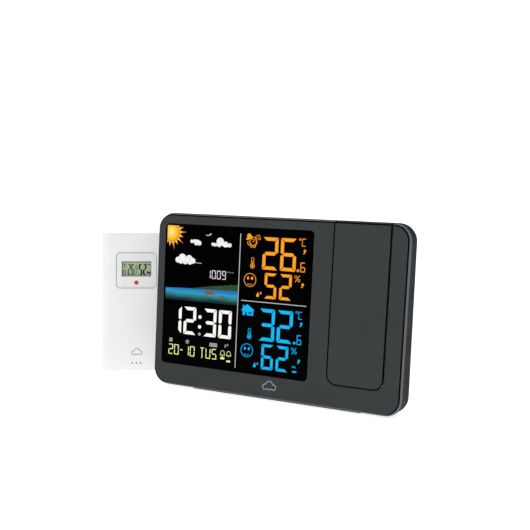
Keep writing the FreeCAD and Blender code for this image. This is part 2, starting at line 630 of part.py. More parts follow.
def lens_barrel():
    """Focusing barrel with its seat for the lens, a front chamfer and a rack tab."""
    shape = lens_axis_rod(BARREL_R, BARREL_Z)
    seat = BARREL_Z[1] - 5.0
    shape = shape.cut(lens_axis_rod(LENS_R, (seat, 140))).cut(lens_axis_rod(4.2, (80, 140)))
    mouth = Part.makeCone(LENS_R, LENS_R + 0.8, 1.0, V(ARM_MID, LENS_Y, BARREL_Z[1] - 1.0))
    tab = box((ARM_MID + BARREL_R - 1.0, FOCUS_X - FOCUS_W / 2 - 0.4),
              (FOCUS_Y - PINION_R - 1.3, FOCUS_Y - PINION_R - 0.1), (BARREL_Z[0], BARREL_Z[0] + 12.0))
    shape = shape.cut(mouth).fuse(tab.cut(lens_axis_rod(BARREL_R - 0.5, (80, 140))))
    return shape.removeSplitter()


def projection_lens():
    seat = BARREL_Z[1] - 5.0
    ball = Part.makeSphere(8.5, V(ARM_MID, LENS_Y, seat + 3.4 - 8.5))
    return lens_axis_rod(LENS_R - 0.03, (seat, seat + 4)).common(ball)


def focus_wheel():
    """Ribbed thumbwheel with the pinion that moves the barrel."""
    start, end = FOCUS_X - FOCUS_W / 2, FOCUS_X + FOCUS_W / 2
    wheel = rod(FOCUS_R, (start, FOCUS_Y, FOCUS_Z), (end, FOCUS_Y, FOCUS_Z))
    ribs = 30
    cuts = []
    for i in range(ribs):
        angle = 2 * math.pi * i / ribs
        y, z = FOCUS_Y + (FOCUS_R + 0.25) * math.cos(angle), FOCUS_Z + (FOCUS_R + 0.25) * math.sin(angle)
        cuts.append(rod(0.5, (start - 1, y, z), (end + 1, y, z)))
    wheel = wheel.cut(group(cuts))
    pinion = rod(PINION_R, (start - 3.4, FOCUS_Y, FOCUS_Z), (start, FOCUS_Y, FOCUS_Z))
    bore = rod(1.05, (start - 5, FOCUS_Y, FOCUS_Z), (end + 1, FOCUS_Y, FOCUS_Z))
    return wheel.fuse(pinion).cut(bore).removeSplitter()


# ---- outdoor sensor ------------------------------------------------------------------
SENSOR_CLEAR = 0.35              # under the slanted lower end, above the table
DOOR_HALF, DOOR_Z, SENSOR_DOOR_THICK = 14.5, (33.0, 86.0), 1.5
SENSOR_DOOR_HINGE = (SENSOR_D - SENSOR_DOOR_THICK / 2, DOOR_Z[0] + SENSOR_DOOR_THICK / 2)
CELL_PAIR_R, CELL_PAIR_LONG, CELL_PAIR_Y, CELL_PAIR_Z = 5.2, 44.5, 12.9, 37.5
TX_X, SWITCH_X, TX_Z = -8.0, 8.0, 96.0
SENSOR_KICK_HALF, SENSOR_KICK_LONG, SENSOR_KICK_THICK, SENSOR_KICK_Z = 13.0, 24.0, 2.4, 6.6
SENSOR_KICK_PIN_R = 0.9
SENSOR_SCREWS = [(-21.0, 14.0), (21.0, 14.0), (-21.0, 99.0), (21.0, 99.0)]
HANG_R, HANG_Z = 2.5, 102.0
LED_R, LED_Z = 1.6, 70.3


def sensor_column(inset, z):
    """Block with rounded upright edges, at an inset from the sensor's faces."""
    half = SENSOR_W / 2 - inset
    block = box((-half, half), (inset, SENSOR_D - inset), z)
    for y, radius in ((inset, SENSOR_FRONT_R), (SENSOR_D - inset, SENSOR_BACK_R)):
        edges = [e for e in edges_along(block, Z_AXIS) if abs(e.CenterOfMass.y - y) < 1e-6]
        block = block.makeFillet(radius - inset, edges)
    return block


def sensor_outer():
    """Flat-ended column with its end edges just broken."""
    block = sensor_column(0, (0, SENSOR_H))
    ends = [e for e in block.Edges
            if all(min(abs(v.Point.z), abs(v.Point.z - SENSOR_H)) < 1e-6 for v in e.Vertexes)]
    return block.makeFillet(SENSOR_END_R, ends)


def sensor_hollow():
    return sensor_column(SENSOR_WALL, (SENSOR_WALL + 1.6, SENSOR_H - SENSOR_WALL))


def level_end(shape):
    """Stand a sensor piece up and trim it level, just above the table."""
    return stand_sensor(shape).cut(box((-300, 0), (-60, 120), (-40, SENSOR_CLEAR)))


def sensor_centred(width, height, middle, y, grow=0.0, radius=0.0):
    """Plate centred on the sensor's face at a height."""
    half_w, half_h = width / 2 + grow, height / 2 + grow
    return plate((-half_w, half_w), (middle - half_h, middle + half_h), radius, y)


def sensor_front_case():
    shape = SENSOR.common(box((-60, 60), (-5, SENSOR_SPLIT_Y), (-5, 130)))
    shape = shape.cut(sensor_hollow())
    width, height, middle = SENSOR_WINDOW
    shape = shape.cut(sensor_centred(width, height, middle, (-1, 1.3), 0.0, 3.0))
    view_w, view_h, view_z = SENSOR_VIEW
    shape = shape.cut(sensor_centred(view_w, view_h, view_z, (-1, 5), 1.0))
    shape = shape.cut(rod(LED_R + 0.1, (0, -1, LED_Z), (0, 5, LED_Z)))
    for i in (-1, 0, 1):
        shape = shape.cut(rod(0.6, (3.4 * i, -1, 6.2), (3.4 * i, 5, 6.2)))
    shape = fuse([shape] + [rod(2.7, (x, 1.7, z), (x, SENSOR_SPLIT_Y, z)) for x, z in SENSOR_SCREWS])
    for x, z in SENSOR_SCREWS:
        shape = shape.cut(rod(SCREW_R + SCREW_CLEAR, (x, 3.0, z), (x, 20, z)))
    return level_end(shape.removeSplitter())


def sensor_window():
    """Bezel plate with openings for the display and the LED."""
    width, height, middle = SENSOR_WINDOW
    shape = sensor_centred(width, height, middle, (0.15, 1.3), -0.12, 2.88)
    view_w, view_h, view_z = SENSOR_VIEW
    shape = shape.cut(sensor_centred(view_w, view_h, view_z, (-1, 5)))
    return stand_sensor(shape.cut(rod(LED_R + 0.1, (0, -1, LED_Z), (0, 5, LED_Z))))


def sensor_lcd():
    view_w, view_h, view_z = SENSOR_VIEW
    return stand_sensor(sensor_centred(view_w, view_h, view_z, (1.3, 4.2), 0.9))


def sensor_led():
    dome = Part.makeSphere(LED_R, V(0, 1.9, LED_Z))
    return stand_sensor(rod(LED_R, (0, 1.9, LED_Z), (0, 4.6, LED_Z)).fuse(dome))


def sensor_rear_case():
    shape = SENSOR.common(box((-60, 60), (SENSOR_SPLIT_Y + 0.08, 60), (-5, 130)))
    kick_top = SENSOR_KICK_Z + SENSOR_KICK_LONG + 1.0
    floor_y = SENSOR_D - SENSOR_KICK_THICK - 0.6
    pocket = box((-SENSOR_KICK_HALF - 2, SENSOR_KICK_HALF + 2), (floor_y - 1.4, 40), (-5, kick_top + 1.6))
    bay = box((-DOOR_HALF - 1.4, DOOR_HALF + 1.4), (SENSOR_D - 5.0, 40), (DOOR_Z[0] - 1.9, DOOR_Z[1] + 1.6))
    shape = shape.cut(sensor_hollow().cut(pocket).cut(bay))
    shape = shape.cut(box((-SENSOR_KICK_HALF - 0.4, SENSOR_KICK_HALF + 0.4), (floor_y, 40), (-5, kick_top)))
    shape = shape.cut(box((-DOOR_HALF - 0.15, DOOR_HALF + 0.15), (SENSOR_D - SENSOR_DOOR_THICK - 0.35, 40),
                          (DOOR_Z[0] - 0.5, DOOR_Z[1] + 0.15)))
    shape = shape.cut(box((-12.6, 12.6), (5, 40), (DOOR_Z[0] + 2, DOOR_Z[1] - 2)))
    shape = shape.cut(rod(2.0 + FIT, (TX_X, 5, TX_Z), (TX_X, 40, TX_Z)))
    shape = shape.cut(box((SWITCH_X - 4.2, SWITCH_X + 4.2), (5, 40), (TX_Z - 1.4, TX_Z + 1.4)))
    shape = shape.cut(rod(HANG_R, (0, 5, HANG_Z), (0, 40, HANG_Z)))
    for x, z in SENSOR_SCREWS:
        shape = shape.fuse(rod(3.2, (x, SENSOR_SPLIT_Y + 0.08, z), (x, SENSOR_D - 1, z)))
        shape = shape.cut(rod(SCREW_R + 0.2, (x, 5, z), (x, 30, z)))
        shape = shape.cut(rod(SCREW_HEAD_R + 0.2, (x, SENSOR_D - 2.1, z), (x, 30, z)))
    shape = shape.cut(group(sensor_kick_pin_rods()))
    return level_end(shape.removeSplitter())


def sensor_kick_pin_rods():
    y = SENSOR_D - SENSOR_KICK_THICK / 2 - 0.3
    return [rod(SENSOR_KICK_PIN_R, (s * (SENSOR_KICK_HALF - 4), y, SENSOR_KICK_Z),
                (s * (SENSOR_KICK_HALF + 1.8), y, SENSOR_KICK_Z)) for s in (-1, 1)]


def sensor_stand():
    """Fold-out stand of the sensor, built folded."""
    half, thick, base = SENSOR_KICK_HALF, SENSOR_KICK_THICK, SENSOR_KICK_Z
    y_mid = SENSOR_D - thick / 2 - 0.3
    leaf = box((-half, half), (y_mid - thick / 2, y_mid + thick / 2), (base, base + SENSOR_KICK_LONG))
    leaf = leaf.makeFillet(4.0, [e for e in edges_along(leaf, Y_AXIS) if e.CenterOfMass.z > base + 1])
    shape = leaf.fuse(rod(thick / 2, (-half, y_mid, base), (half, y_mid, base))).removeSplitter()
    bores = [rod(SENSOR_KICK_PIN_R + 0.05, (s * (half - 4.5), y_mid, base), (s * (half + 1), y_mid, base))
             for s in (-1, 1)]
    return shape.cut(group(bores))


def sensor_feet():
    """Two small ribs under the front case that meet the table."""
    ribs = group([box((s * 18 - 0.9, s * 18 + 0.9), (3.0, 8.8), (-3, 1.0)) for s in (-1, 1)])
    placed = stand_sensor(ribs).cut(stand_sensor(SENSOR).cut(box((-300, 0), (-60, 120), (-40, SENSOR_CLEAR))))
    return placed.cut(box((-300, 0), (-60, 120), (-40, 0)))


def sensor_board():
    """Circuit board with the helical antenna, as its envelope tube, along one side."""
    shape = box((-22, 22), (4.6, 6.0), (40, 104))
    shape = shape.cut(group([rod(3.2, (x, 0, z), (x, 20, z)) for x, z in SENSOR_SCREWS]))
    return stand_sensor(shape.fuse(tube(2.2, 1.5, (19.6, 8.1, 52), (19.6, 8.1, 80))).removeSplitter())


def sensor_batteries():
    cells = []
    for x, up in ((-6.0, 1), (6.0, -1)):
        bottom, top = CELL_PAIR_Z, CELL_PAIR_Z + CELL_PAIR_LONG
        can = rod(CELL_PAIR_R, (x, CELL_PAIR_Y, bottom + (0 if up > 0 else 1)),
                  (x, CELL_PAIR_Y, top - (1 if up > 0 else 0)))
        tip = (top - 1.2, top) if up > 0 else (bottom, bottom + 1.2)
        cells.append(can.fuse(rod(1.9, (x, CELL_PAIR_Y, tip[0]), (x, CELL_PAIR_Y, tip[1]))).removeSplitter())
    return stand_sensor(group(cells))


def sensor_contacts():
    """Plates at both ends of the cells."""
    y = (CELL_PAIR_Y - 4.5, CELL_PAIR_Y + 4.0)
    top = CELL_PAIR_Z + CELL_PAIR_LONG
    plates = [box((-10.6, 10.6), y, (CELL_PAIR_Z - 0.5, CELL_PAIR_Z))]
    plates += [box((x - 4.2, x + 4.2), y, (top, top + 0.5)) for x in (-6.0, 6.0)]
    return stand_sensor(group(plates))


def sensor_battery_door():
    """Flap with a rounded lower edge, which it turns on."""
    leaf = box((-DOOR_HALF, DOOR_HALF), (SENSOR_D - SENSOR_DOOR_THICK, SENSOR_D),
               (SENSOR_DOOR_HINGE[1], DOOR_Z[1]))
    edge = rod(SENSOR_DOOR_THICK / 2, (-DOOR_HALF, *SENSOR_DOOR_HINGE), (DOOR_HALF, *SENSOR_DOOR_HINGE))
    shape = leaf.fuse(edge).removeSplitter()
    grips = [box((-5, 5), (SENSOR_D - 0.5, SENSOR_D + 1), (z, z + 0.8)) for z in (76.0, 78.2, 80.4)]
    return stand_sensor(shape.cut(group(grips)))


def sensor_tx_button():
    cap = rod(2.0, (TX_X, SENSOR_D - 2.3, TX_Z), (TX_X, SENSOR_D + 0.4, TX_Z))
    flange = rod(2.9, (TX_X, SENSOR_D - 2.9, TX_Z), (TX_X, SENSOR_D - 2.1, TX_Z))
    return stand_sensor(cap.fuse(flange).removeSplitter())


def sensor_channel_switch():
    nub = box((SWITCH_X - 3.9, SWITCH_X - 1.3), (SENSOR_D - 2.3, SENSOR_D - 0.3), (TX_Z - 1.2, TX_Z + 1.2))
    base = box((SWITCH_X - 5.4, SWITCH_X + 0.2), (SENSOR_D - 3.0, SENSOR_D - 2.1), (TX_Z - 2.2, TX_Z + 2.2))
    return stand_sensor(nub.fuse(base).removeSplitter())


def sensor_screws():
    screws = []
    for x, z in SENSOR_SCREWS:
        seat = SENSOR_D - 2.1
        head = rod(SCREW_HEAD_R, (x, seat, z), (x, seat + 1.5, z))
        cross = fuse([box((x - 1.4, x + 1.4), (seat + 0.7, seat + 3), (z - 0.25, z + 0.25)),
                      box((x - 0.25, x + 0.25), (seat + 0.7, seat + 3), (z - 1.4, z + 1.4))])
        screws.append(head.fuse(rod(SCREW_R, (x, 4.0, z), (x, seat, z))).cut(cross).removeSplitter())
    return stand_sensor(group(screws))


# ---- all the nodes -------------------------------------------------------------------
os.makedirs("parts", exist_ok=True)
OUTER = console_outer()
ARM = arm_outer()
SENSOR = sensor_outer()

CONSOLE_NODES = {
    "front_fascia": front_fascia, "display_window": display_window, "middle_case": middle_case,
    "rear_cover": rear_cover, "lcd_panel": lcd_panel, "light_guide": light_guide,
    "backlight_leds": backlight_leds, "lcd_frame": lcd_frame, "lcd_connectors": lcd_connectors,
    "main_board": main_board, "board_screws": board_screws,
    "board_chips": lambda: group([board_chips(), key_switches()]),
    "snooze_key": snooze_key, "backup_cell": backup_cell,
    "cell_contacts": cell_contacts, "battery_door": battery_door, "dc_jack": dc_jack,
    "antenna_rod": lambda: antenna("rod"), "antenna_coil": lambda: antenna("coil"),
    "buzzer": buzzer, "room_sensor": room_sensor, "case_screws": case_screws,
    "arm_pivot_pins": lambda: group(pivot_rods(0)), "friction_washers": friction_washers,
    "kickstand_pins": lambda: group(kick_pins()),
    "arm_screws": arm_screws, "projector_board": projector_board, "projection_led": projection_led,
    "lamp_housing": lamp_housing, "condenser_lens": condenser_lens, "projection_lcd": projection_lcd,
    "lens_barrel": lens_barrel, "projection_lens": projection_lens, "focus_wheel": focus_wheel,
    "focus_axle": lambda: rod(1.0, FOCUS_AXLE[0], FOCUS_AXLE[1]),
}
for node, make in CONSOLE_NODES.items():
    save(node, stand_console(make()))
for number, key_x in enumerate(KEY_X, start=1):
    save(f"rear_key_{number}", stand_console(rear_key(key_x)))
for node, shell in zip(("arm_front_shell", "arm_rear_shell"), arm_shells()):
    save(node, stand_console(shell))
save("foot_bar", foot_bar())

BACK_ANGLE = LEAN - TAPER_DEG
hinge = kick_pivot()
kick_swing = swing_to_table(hinge.z, KICK_LONG, KICK_THICK, BACK_ANGLE)
save("kickstand", spin(stand_console(kickstand()), hinge, X_AXIS, -kick_swing))

SENSOR_NODES = {
    "sensor_front_case": sensor_front_case, "sensor_rear_case": sensor_rear_case,
    "sensor_window": sensor_window, "sensor_lcd": sensor_lcd, "sensor_led": sensor_led,
    "sensor_board": sensor_board, "sensor_batteries": sensor_batteries,
    "sensor_contacts": sensor_contacts, "sensor_battery_door": sensor_battery_door,
    "sensor_tx_button": sensor_tx_button, "sensor_channel_switch": sensor_channel_switch,
    "sensor_screws": sensor_screws, "sensor_feet": sensor_feet,
    "sensor_stand_pins": lambda: stand_sensor(group(sensor_kick_pin_rods())),
}
for node, make in SENSOR_NODES.items():
    save(node, make())
sensor_hinge = stand_sensor(Part.Vertex(0, SENSOR_D - SENSOR_KICK_THICK / 2 - 0.3, SENSOR_KICK_Z)).Point
across = V(math.cos(math.radians(SENSOR_YAW)), math.sin(math.radians(SENSOR_YAW)), 0)
sensor_swing = swing_to_table(sensor_hinge.z, SENSOR_KICK_LONG, SENSOR_KICK_THICK, SENSOR_LEAN)
save("sensor_stand", spin(stand_sensor(sensor_stand()), sensor_hinge, across, -sensor_swing))

# Joint places and mount points in the row frame, for the record.
print("kickstand hinge", hinge, "swing", round(kick_swing, 3))
print("sensor stand hinge", sensor_hinge, "swing", round(sensor_swing, 3))
print("arm pivot", stand_console(Part.Vertex(0, PIVOT_Y, PIVOT_Z)).Point)
print("focus wheel", stand_console(Part.Vertex(FOCUS_X, FOCUS_Y, FOCUS_Z)).Point)
print("cell door", stand_console(on_back(Part.Vertex(CELL_X, 0, CELL_Z))).Point)
print("sensor door hinge", stand_sensor(Part.Vertex(0, *SENSOR_DOOR_HINGE)).Point)
print("hang hole", stand_sensor(Part.Vertex(0, SENSOR_D, HANG_Z)).Point)
print("power jack", stand_console(Part.Vertex(JACK_X, rear_y(JACK_Z, WALL), JACK_Z)).Point)
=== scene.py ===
"""Looks of the home weather station: a table console with a lit display, and its outdoor sensor.

Sizes are in millimetres in the two housings' own upright frames, as in the CAD model: x across,
y from the front face to the back, z up the face. A Housing turns them into the row frame.
"""
import json
import math

import bmesh
import bpy
from mathutils import Matrix, Vector


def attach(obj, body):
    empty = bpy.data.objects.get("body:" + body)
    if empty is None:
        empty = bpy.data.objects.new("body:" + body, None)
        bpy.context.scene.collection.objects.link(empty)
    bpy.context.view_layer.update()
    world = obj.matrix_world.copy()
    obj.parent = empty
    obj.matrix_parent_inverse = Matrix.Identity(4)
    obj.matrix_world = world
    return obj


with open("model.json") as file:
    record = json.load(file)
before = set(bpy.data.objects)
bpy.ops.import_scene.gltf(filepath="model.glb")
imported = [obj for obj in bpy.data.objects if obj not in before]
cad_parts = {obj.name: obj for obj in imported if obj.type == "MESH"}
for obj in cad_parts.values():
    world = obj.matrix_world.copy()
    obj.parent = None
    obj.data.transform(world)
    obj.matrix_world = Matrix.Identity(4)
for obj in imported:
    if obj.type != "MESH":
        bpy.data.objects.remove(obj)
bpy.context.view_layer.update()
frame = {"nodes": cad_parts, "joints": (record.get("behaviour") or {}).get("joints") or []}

MM = 0.001
JOINTS = {joint["name"]: joint for joint in frame["joints"]}


class Housing:
    """Upright frame of a housing, in millimetres, found from its joints."""

    def __init__(self, body, right, up, known_point, local_point):
        self.body = body
        x, z = Vector(right).normalized(), Vector(up).normalized()
        self.turn = Matrix((x, z.cross(x), z)).transposed()
        self.origin = Vector(known_point) - self.turn @ (Vector(local_point) * MM)

    def point(self, x, y, z):
        return self.origin + self.turn @ (Vector((x, y, z)) * MM)

    def matrix(self):
        return Matrix.Translation(self.origin) @ self.turn.to_4x4() @ Matrix.Scale(MM, 4)


ARM_PIVOT = (63.6, 9.6, 28.0)
SENSOR_HINGE = (0.0, 19.5, 6.6)
console_up = -Vector(JOINTS["snooze_press"]["axis"])
console = Housing("console", (1, 0, 0), console_up, JOINTS["arm_tilt"]["pos_m"], ARM_PIVOT)
sensor_right = Vector(JOINTS["channel_slide"]["axis"])
sensor_up = sensor_right.cross(-Vector(JOINTS["sensor_button_press"]["axis"]))
sensor_hinge_place = JOINTS["sensor_stand_fold"]["pos_m"]
sensor = Housing("outdoor_sensor", sensor_right, sensor_up, sensor_hinge_place, SENSOR_HINGE)


# ---- camera, lights and floor --------------------------------------------------------
EYE = (246.2, -519.2, 125.7)     # camera, in the console's upright frame
LOOK = Vector((-0.4342, 0.8810, -0.1881))
FOCAL_MM, SENSOR_MM, SHIFT_Y = 56.4, 36.0, 0.0623


def add_camera():
    data = bpy.data.cameras.new("camera")
    data.lens, data.sensor_width, data.shift_y = FOCAL_MM, SENSOR_MM, SHIFT_Y
    data.clip_start = 0.01
    camera = bpy.data.objects.new("camera", data)
    camera.location = console.point(*EYE)
    camera.rotation_euler = LOOK.to_track_quat("-Z", "Y").to_euler()
    bpy.context.scene.collection.objects.link(camera)
    bpy.context.scene.camera = camera


def add_area_light(name, place, target, size, watts):
    data = bpy.data.lights.new(name, "AREA")
    data.shape, data.size, data.size_y = "RECTANGLE", size[0], size[1]
    data.energy = watts
    light = bpy.data.objects.new(name, data)
    light.location = place
    light.rotation_euler = (Vector(target) - Vector(place)).to_track_quat("-Z", "Y").to_euler()
    bpy.context.scene.collection.objects.link(light)


def add_world(seen, lighting):
    """White surround: one strength where the camera sees it, another as the light it gives.

    The light fades to both sides.
    """
    world = bpy.data.worlds.new("studio")
    bpy.context.scene.world = world
    world.use_nodes = True
    nodes, links = world.node_tree.nodes, world.node_tree.links
    strength = nodes.new("ShaderNodeMapRange")
    strength.inputs["To Max"].default_value = seen
    links.new(nodes.new("ShaderNodeLightPath").outputs["Is Camera Ray"], strength.inputs["Value"])
    split, shade = nodes.new("ShaderNodeSeparateXYZ"), nodes.new("ShaderNodeMapRange")
    links.new(nodes.new("ShaderNodeTexCoord").outputs["Generated"], split.inputs["Vector"])
    away = nodes.new("ShaderNodeMath")
    away.operation = "ABSOLUTE"
    shade.inputs["From Min"].default_value, shade.inputs["From Max"].default_value = 0.1, 0.8
    shade.inputs["To Min"].default_value, shade.inputs["To Max"].default_value = lighting, lighting * 0.1
    links.new(split.outputs["X"], away.inputs[0])
    links.new(away.outputs["Value"], shade.inputs["Value"])
    links.new(shade.outputs["Result"], strength.inputs["To Min"])
    background = nodes["Background"]
    background.inputs["Color"].default_value = (1.0, 1.0, 1.0, 1.0)
    links.new(strength.outputs["Result"], background.inputs["Strength"])


def add_floor():
    mesh = bpy.data.meshes.new("floor")
    half = 6.0
    corners = [(-half, -half, 0), (half, -half, 0), (half, half, 0), (-half, half, 0)]
    mesh.from_pydata(corners, [], [(0, 1, 2, 3)])
    floor = bpy.data.objects.new("floor", mesh)
    bpy.context.scene.collection.objects.link(floor)
    paint = Paint("floor_white", (0.93, 0.93, 0.93), 0.75, specular=0.0).glow((1.0, 1.0, 1.0), 0.85)
    mesh.materials.append(paint.material)


# ---- materials -----------------------------------------------------------------------
def scale_colour(colour, factor):
    """Colour made lighter or darker by a factor, with its alpha."""
    return tuple(min(1.0, max(0.0, c * factor)) for c in colour) + (1.0,)


class Paint:
    """A node material on one Principled shader, with detail layers added by the methods."""

    def __init__(self, name, colour, roughness, metallic=0.0, specular=0.5):
        self.material = bpy.data.materials.new(name)
        self.material.use_nodes = True
        self.nodes, self.links = self.material.node_tree.nodes, self.material.node_tree.links
        self.shader = self.nodes["Principled BSDF"]
        self.colour, self.last_normal = colour, None
        self.put("Base Color", tuple(colour) + (1.0,))
        self.put("Roughness", roughness)
        self.put("Metallic", metallic)
        self.put("Specular IOR Level", specular)
        self.place = self.nodes.new("ShaderNodeTexCoord").outputs["Object"]

    def put(self, socket, value):
        self.shader.inputs[socket].default_value = value

    def node(self, kind, **settings):
        made = self.nodes.new(kind)
        for key, value in settings.items():
            setattr(made, key, value)
        return made

    def noise(self, size_mm, detail=2.0, stretch=(1, 1, 1)):
        """Noise whose features are about size_mm across."""
        mapping = self.node("ShaderNodeMapping")
        mapping.inputs["Scale"].default_value = [s / (size_mm * MM) for s in stretch]
        self.links.new(self.place, mapping.inputs["Vector"])
        noise = self.node("ShaderNodeTexNoise")
        noise.inputs["Scale"].default_value = 1.0
        noise.inputs["Detail"].default_value = detail
        self.links.new(mapping.outputs["Vector"], noise.inputs["Vector"])
        return noise.outputs["Fac"]

    def ramp(self, value, stops):
        """Colour ramp through (position, colour) stops."""
        ramp = self.node("ShaderNodeValToRGB")
        elements = ramp.color_ramp.elements
        while len(elements) < len(stops):
            elements.new(0.5)
        for element, (position, colour) in zip(elements, stops):
            element.position = position
            element.color = tuple(colour) + (1.0,) * (4 - len(colour))
        self.links.new(value, ramp.inputs["Fac"])
        return ramp.outputs["Color"]

    def mottle(self, size_mm, amount):
        """Slow variation of the base colour."""
        low, high = scale_colour(self.colour, 1 - amount), scale_colour(self.colour, 1 + amount)
        drift = self.ramp(self.noise(size_mm), [(0.3, low), (0.7, high)])
        self.links.new(drift, self.shader.inputs["Base Color"])
        return self

    def gloss_change(self, size_mm, low, high, stretch=(1, 1, 1)):
        """Slow variation of the roughness between two values."""
        spread = self.node("ShaderNodeMapRange")
        spread.inputs["From Min"].default_value, spread.inputs["From Max"].default_value = 0.3, 0.7
        spread.inputs["To Min"].default_value, spread.inputs["To Max"].default_value = low, high
        self.links.new(self.noise(size_mm, 3.0, stretch), spread.inputs["Value"])
        self.links.new(spread.outputs["Result"], self.shader.inputs["Roughness"])
        return self

    def bump(self, height, depth_mm, strength=1.0):
        """Bump from a height value, stacked on any bump before it."""
        bump = self.node("ShaderNodeBump")
        bump.inputs["Strength"].default_value = strength
        bump.inputs["Distance"].default_value = depth_mm * MM
        self.links.new(height, bump.inputs["Height"])
        if self.last_normal is not None:
            self.links.new(self.last_normal, bump.inputs["Normal"])
        self.last_normal = bump.outputs["Normal"]
        self.links.new(self.last_normal, self.shader.inputs["Normal"])
        return self

    def grain(self, size_mm, depth_mm, strength=1.0, stretch=(1, 1, 1)):
        """Fine moulded or sparked texture."""
        return self.bump(self.noise(size_mm, 2.0, stretch), depth_mm, strength)

    def blend(self, factor, kind, first, second):
        """Mix of two colours or colour outputs."""
        mix = self.node("ShaderNodeMix", data_type="RGBA", blend_type=kind)
        for socket, value in ((mix.inputs[0], factor), (mix.inputs[6], first), (mix.inputs[7], second)):
            if isinstance(value, bpy.types.NodeSocket):
                self.links.new(value, socket)
            else:
                socket.default_value = value
        return mix.outputs[2]

    def base_source(self):
        """What feeds the base colour now: an output, or the plain colour."""
        fed = self.shader.inputs["Base Color"].links
        return fed[0].from_socket if fed else tuple(self.colour) + (1.0,)

    def paint_gap_shade(self, reach_mm, black, clear_of):
        """Painted shade: narrow gaps fall to black by ambient occlusion, between how open a place is
        where that starts and where it ends.
        """
        closed = self.node("ShaderNodeAmbientOcclusion", samples=8)
        closed.inputs["Distance"].default_value = reach_mm * MM
        shade = self.ramp(closed.outputs["AO"], [(black, (0.0, 0.0, 0.0)), (clear_of, (1.0, 1.0, 1.0))])
        mixed = self.blend(1.0, "MULTIPLY", self.base_source(), shade)
        self.links.new(mixed, self.shader.inputs["Base Color"])
        return self

    def paint_lip_highlight(self, housing, start_mm, end_mm, gain):
        """Paler towards the front edge of a housing: a painted highlight along the rim lip, set by depth
        behind the front face.
        """
        along = self.node("ShaderNodeVectorMath", operation="DOT_PRODUCT")
        self.links.new(self.place, along.inputs[0])
        axis = housing.turn.col[1]
        along.inputs[1].default_value = axis
        span = self.node("ShaderNodeMapRange", interpolation_type="SMOOTHSTEP")
        for name, depth in (("From Min", start_mm), ("From Max", end_mm)):
            span.inputs[name].default_value = housing.origin.dot(axis) + depth * MM
        span.inputs["To Min"].default_value, span.inputs["To Max"].default_value = 1.0, 0.0
        self.links.new(along.outputs["Value"], span.inputs["Value"])
        pale = scale_colour(self.colour, gain)
        mixed = self.blend(span.outputs["Result"], "MIX", self.base_source(), pale)
        self.links.new(mixed, self.shader.inputs["Base Color"])
        return self

    def glow(self, colour, strength):
        self.put("Emission Color", tuple(colour) + (1.0,))
        self.put("Emission Strength", strength)
        return self


def srgb(red, green, blue):
    """Linear colour of an 8-bit display colour."""
    def linear(value):
        value /= 255.0
        return value / 12.92 if value <= 0.04045 else ((value + 0.055) / 1.055) ** 2.4
    return linear(red), linear(green), linear(blue)


def moulded(name, colour, rough, grain_mm=0.35, depth_mm=0.02, specular=0.4):
    """Moulded plastic: sparked grain, slow sheen changes and a trace of colour drift."""
    paint = Paint(name, colour, rough, specular=specular)
    paint.mottle(38.0, 0.05).gloss_change(22.0, rough - 0.06, rough + 0.07)
    return paint.grain(grain_mm, depth_mm, 0.5).grain(6.0, 0.02, 0.15)


def metal(name, colour, rough):
    """Plated steel with fine turning marks."""
    paint = Paint(name, colour, rough, metallic=1.0)
    return paint.gloss_change(1.5, rough - 0.08, rough + 0.12).grain(0.25, 0.004, 0.4, (1, 6, 1))


def clear(name, colour, rough=0.03):
    paint = Paint(name, colour, rough)
    paint.put("Transmission Weight", 0.9)
    paint.put("IOR", 1.49)
    return paint.gloss_change(9.0, 0.01, 0.06)


# ---- mesh helpers --------------------------------------------------------------------
def make_object(name, mesh_data, paint, body):
    """Object from a finished bmesh in the row frame, riding on a body."""
    mesh = bpy.data.meshes.new(name)
    bmesh.ops.recalc_face_normals(mesh_data, faces=mesh_data.faces)
    mesh_data.to_mesh(mesh)
    mesh_data.free()
    mesh.materials.append(paint.material)
    made = bpy.data.objects.new(name, mesh)
    bpy.context.scene.collection.objects.link(made)
    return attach(made, body)


def faces_from(polygons):
    """Bmesh of flat faces from lists of (x, z) points, with shared corners welded."""
    shape = bmesh.new()
    for points in polygons:
        corners = [shape.verts.new((x, 0.0, z)) for x, z in points]
        shape.faces.new(corners)
    bmesh.ops.remove_doubles(shape, verts=shape.verts, dist=1e-4)
    return shape


def clip(shape, x_limits, z_limits):
    """Cut away what lies outside a window."""
    planes = [((x_limits[0], 0, 0), (-1, 0, 0)), ((x_limits[1], 0, 0), (1, 0, 0)),
              ((0, 0, z_limits[0]), (0, 0, -1)), ((0, 0, z_limits[1]), (0, 0, 1))]
    for place, normal in planes:
        parts = shape.verts[:] + shape.edges[:] + shape.faces[:]
        bmesh.ops.bisect_plane(shape, geom=parts, plane_co=place, plane_no=normal, clear_outer=True)


def decal(name, polygons, paint, housing, front_y, back_y, window=None):
    """Thin raised shape on a housing's face, from flat polygons."""
    shape = faces_from(polygons)
    if window:
        clip(shape, *window)
    made = bmesh.ops.extrude_face_region(shape, geom=shape.faces[:])
    front = [item for item in made["geom"] if isinstance(item, bmesh.types.BMVert)]
    front_set = set(front)
    for vert in shape.verts:
        vert.co.y = front_y if vert in front_set else back_y
    bmesh.ops.transform(shape, matrix=housing.matrix(), verts=shape.verts)
    return make_object(name, shape, paint, housing.body)


def box_points(x0, x1, z0, z1):
    return [(x0, z0), (x1, z0), (x1, z1), (x0, z1)]


def arc_points(cx, cz, radius, start, end, steps):
    """Points along an arc, with angles in degrees."""
    points = []
    for i in range(steps + 1):
        angle = math.radians(start + (end - start) * i / steps)
        points.append((cx + radius * math.cos(angle), cz + radius * math.sin(angle)))
    return points


def disc(cx, cz, radius, steps=28):
    return [arc_points(cx, cz, radius, 0, 360, steps)[:-1]]


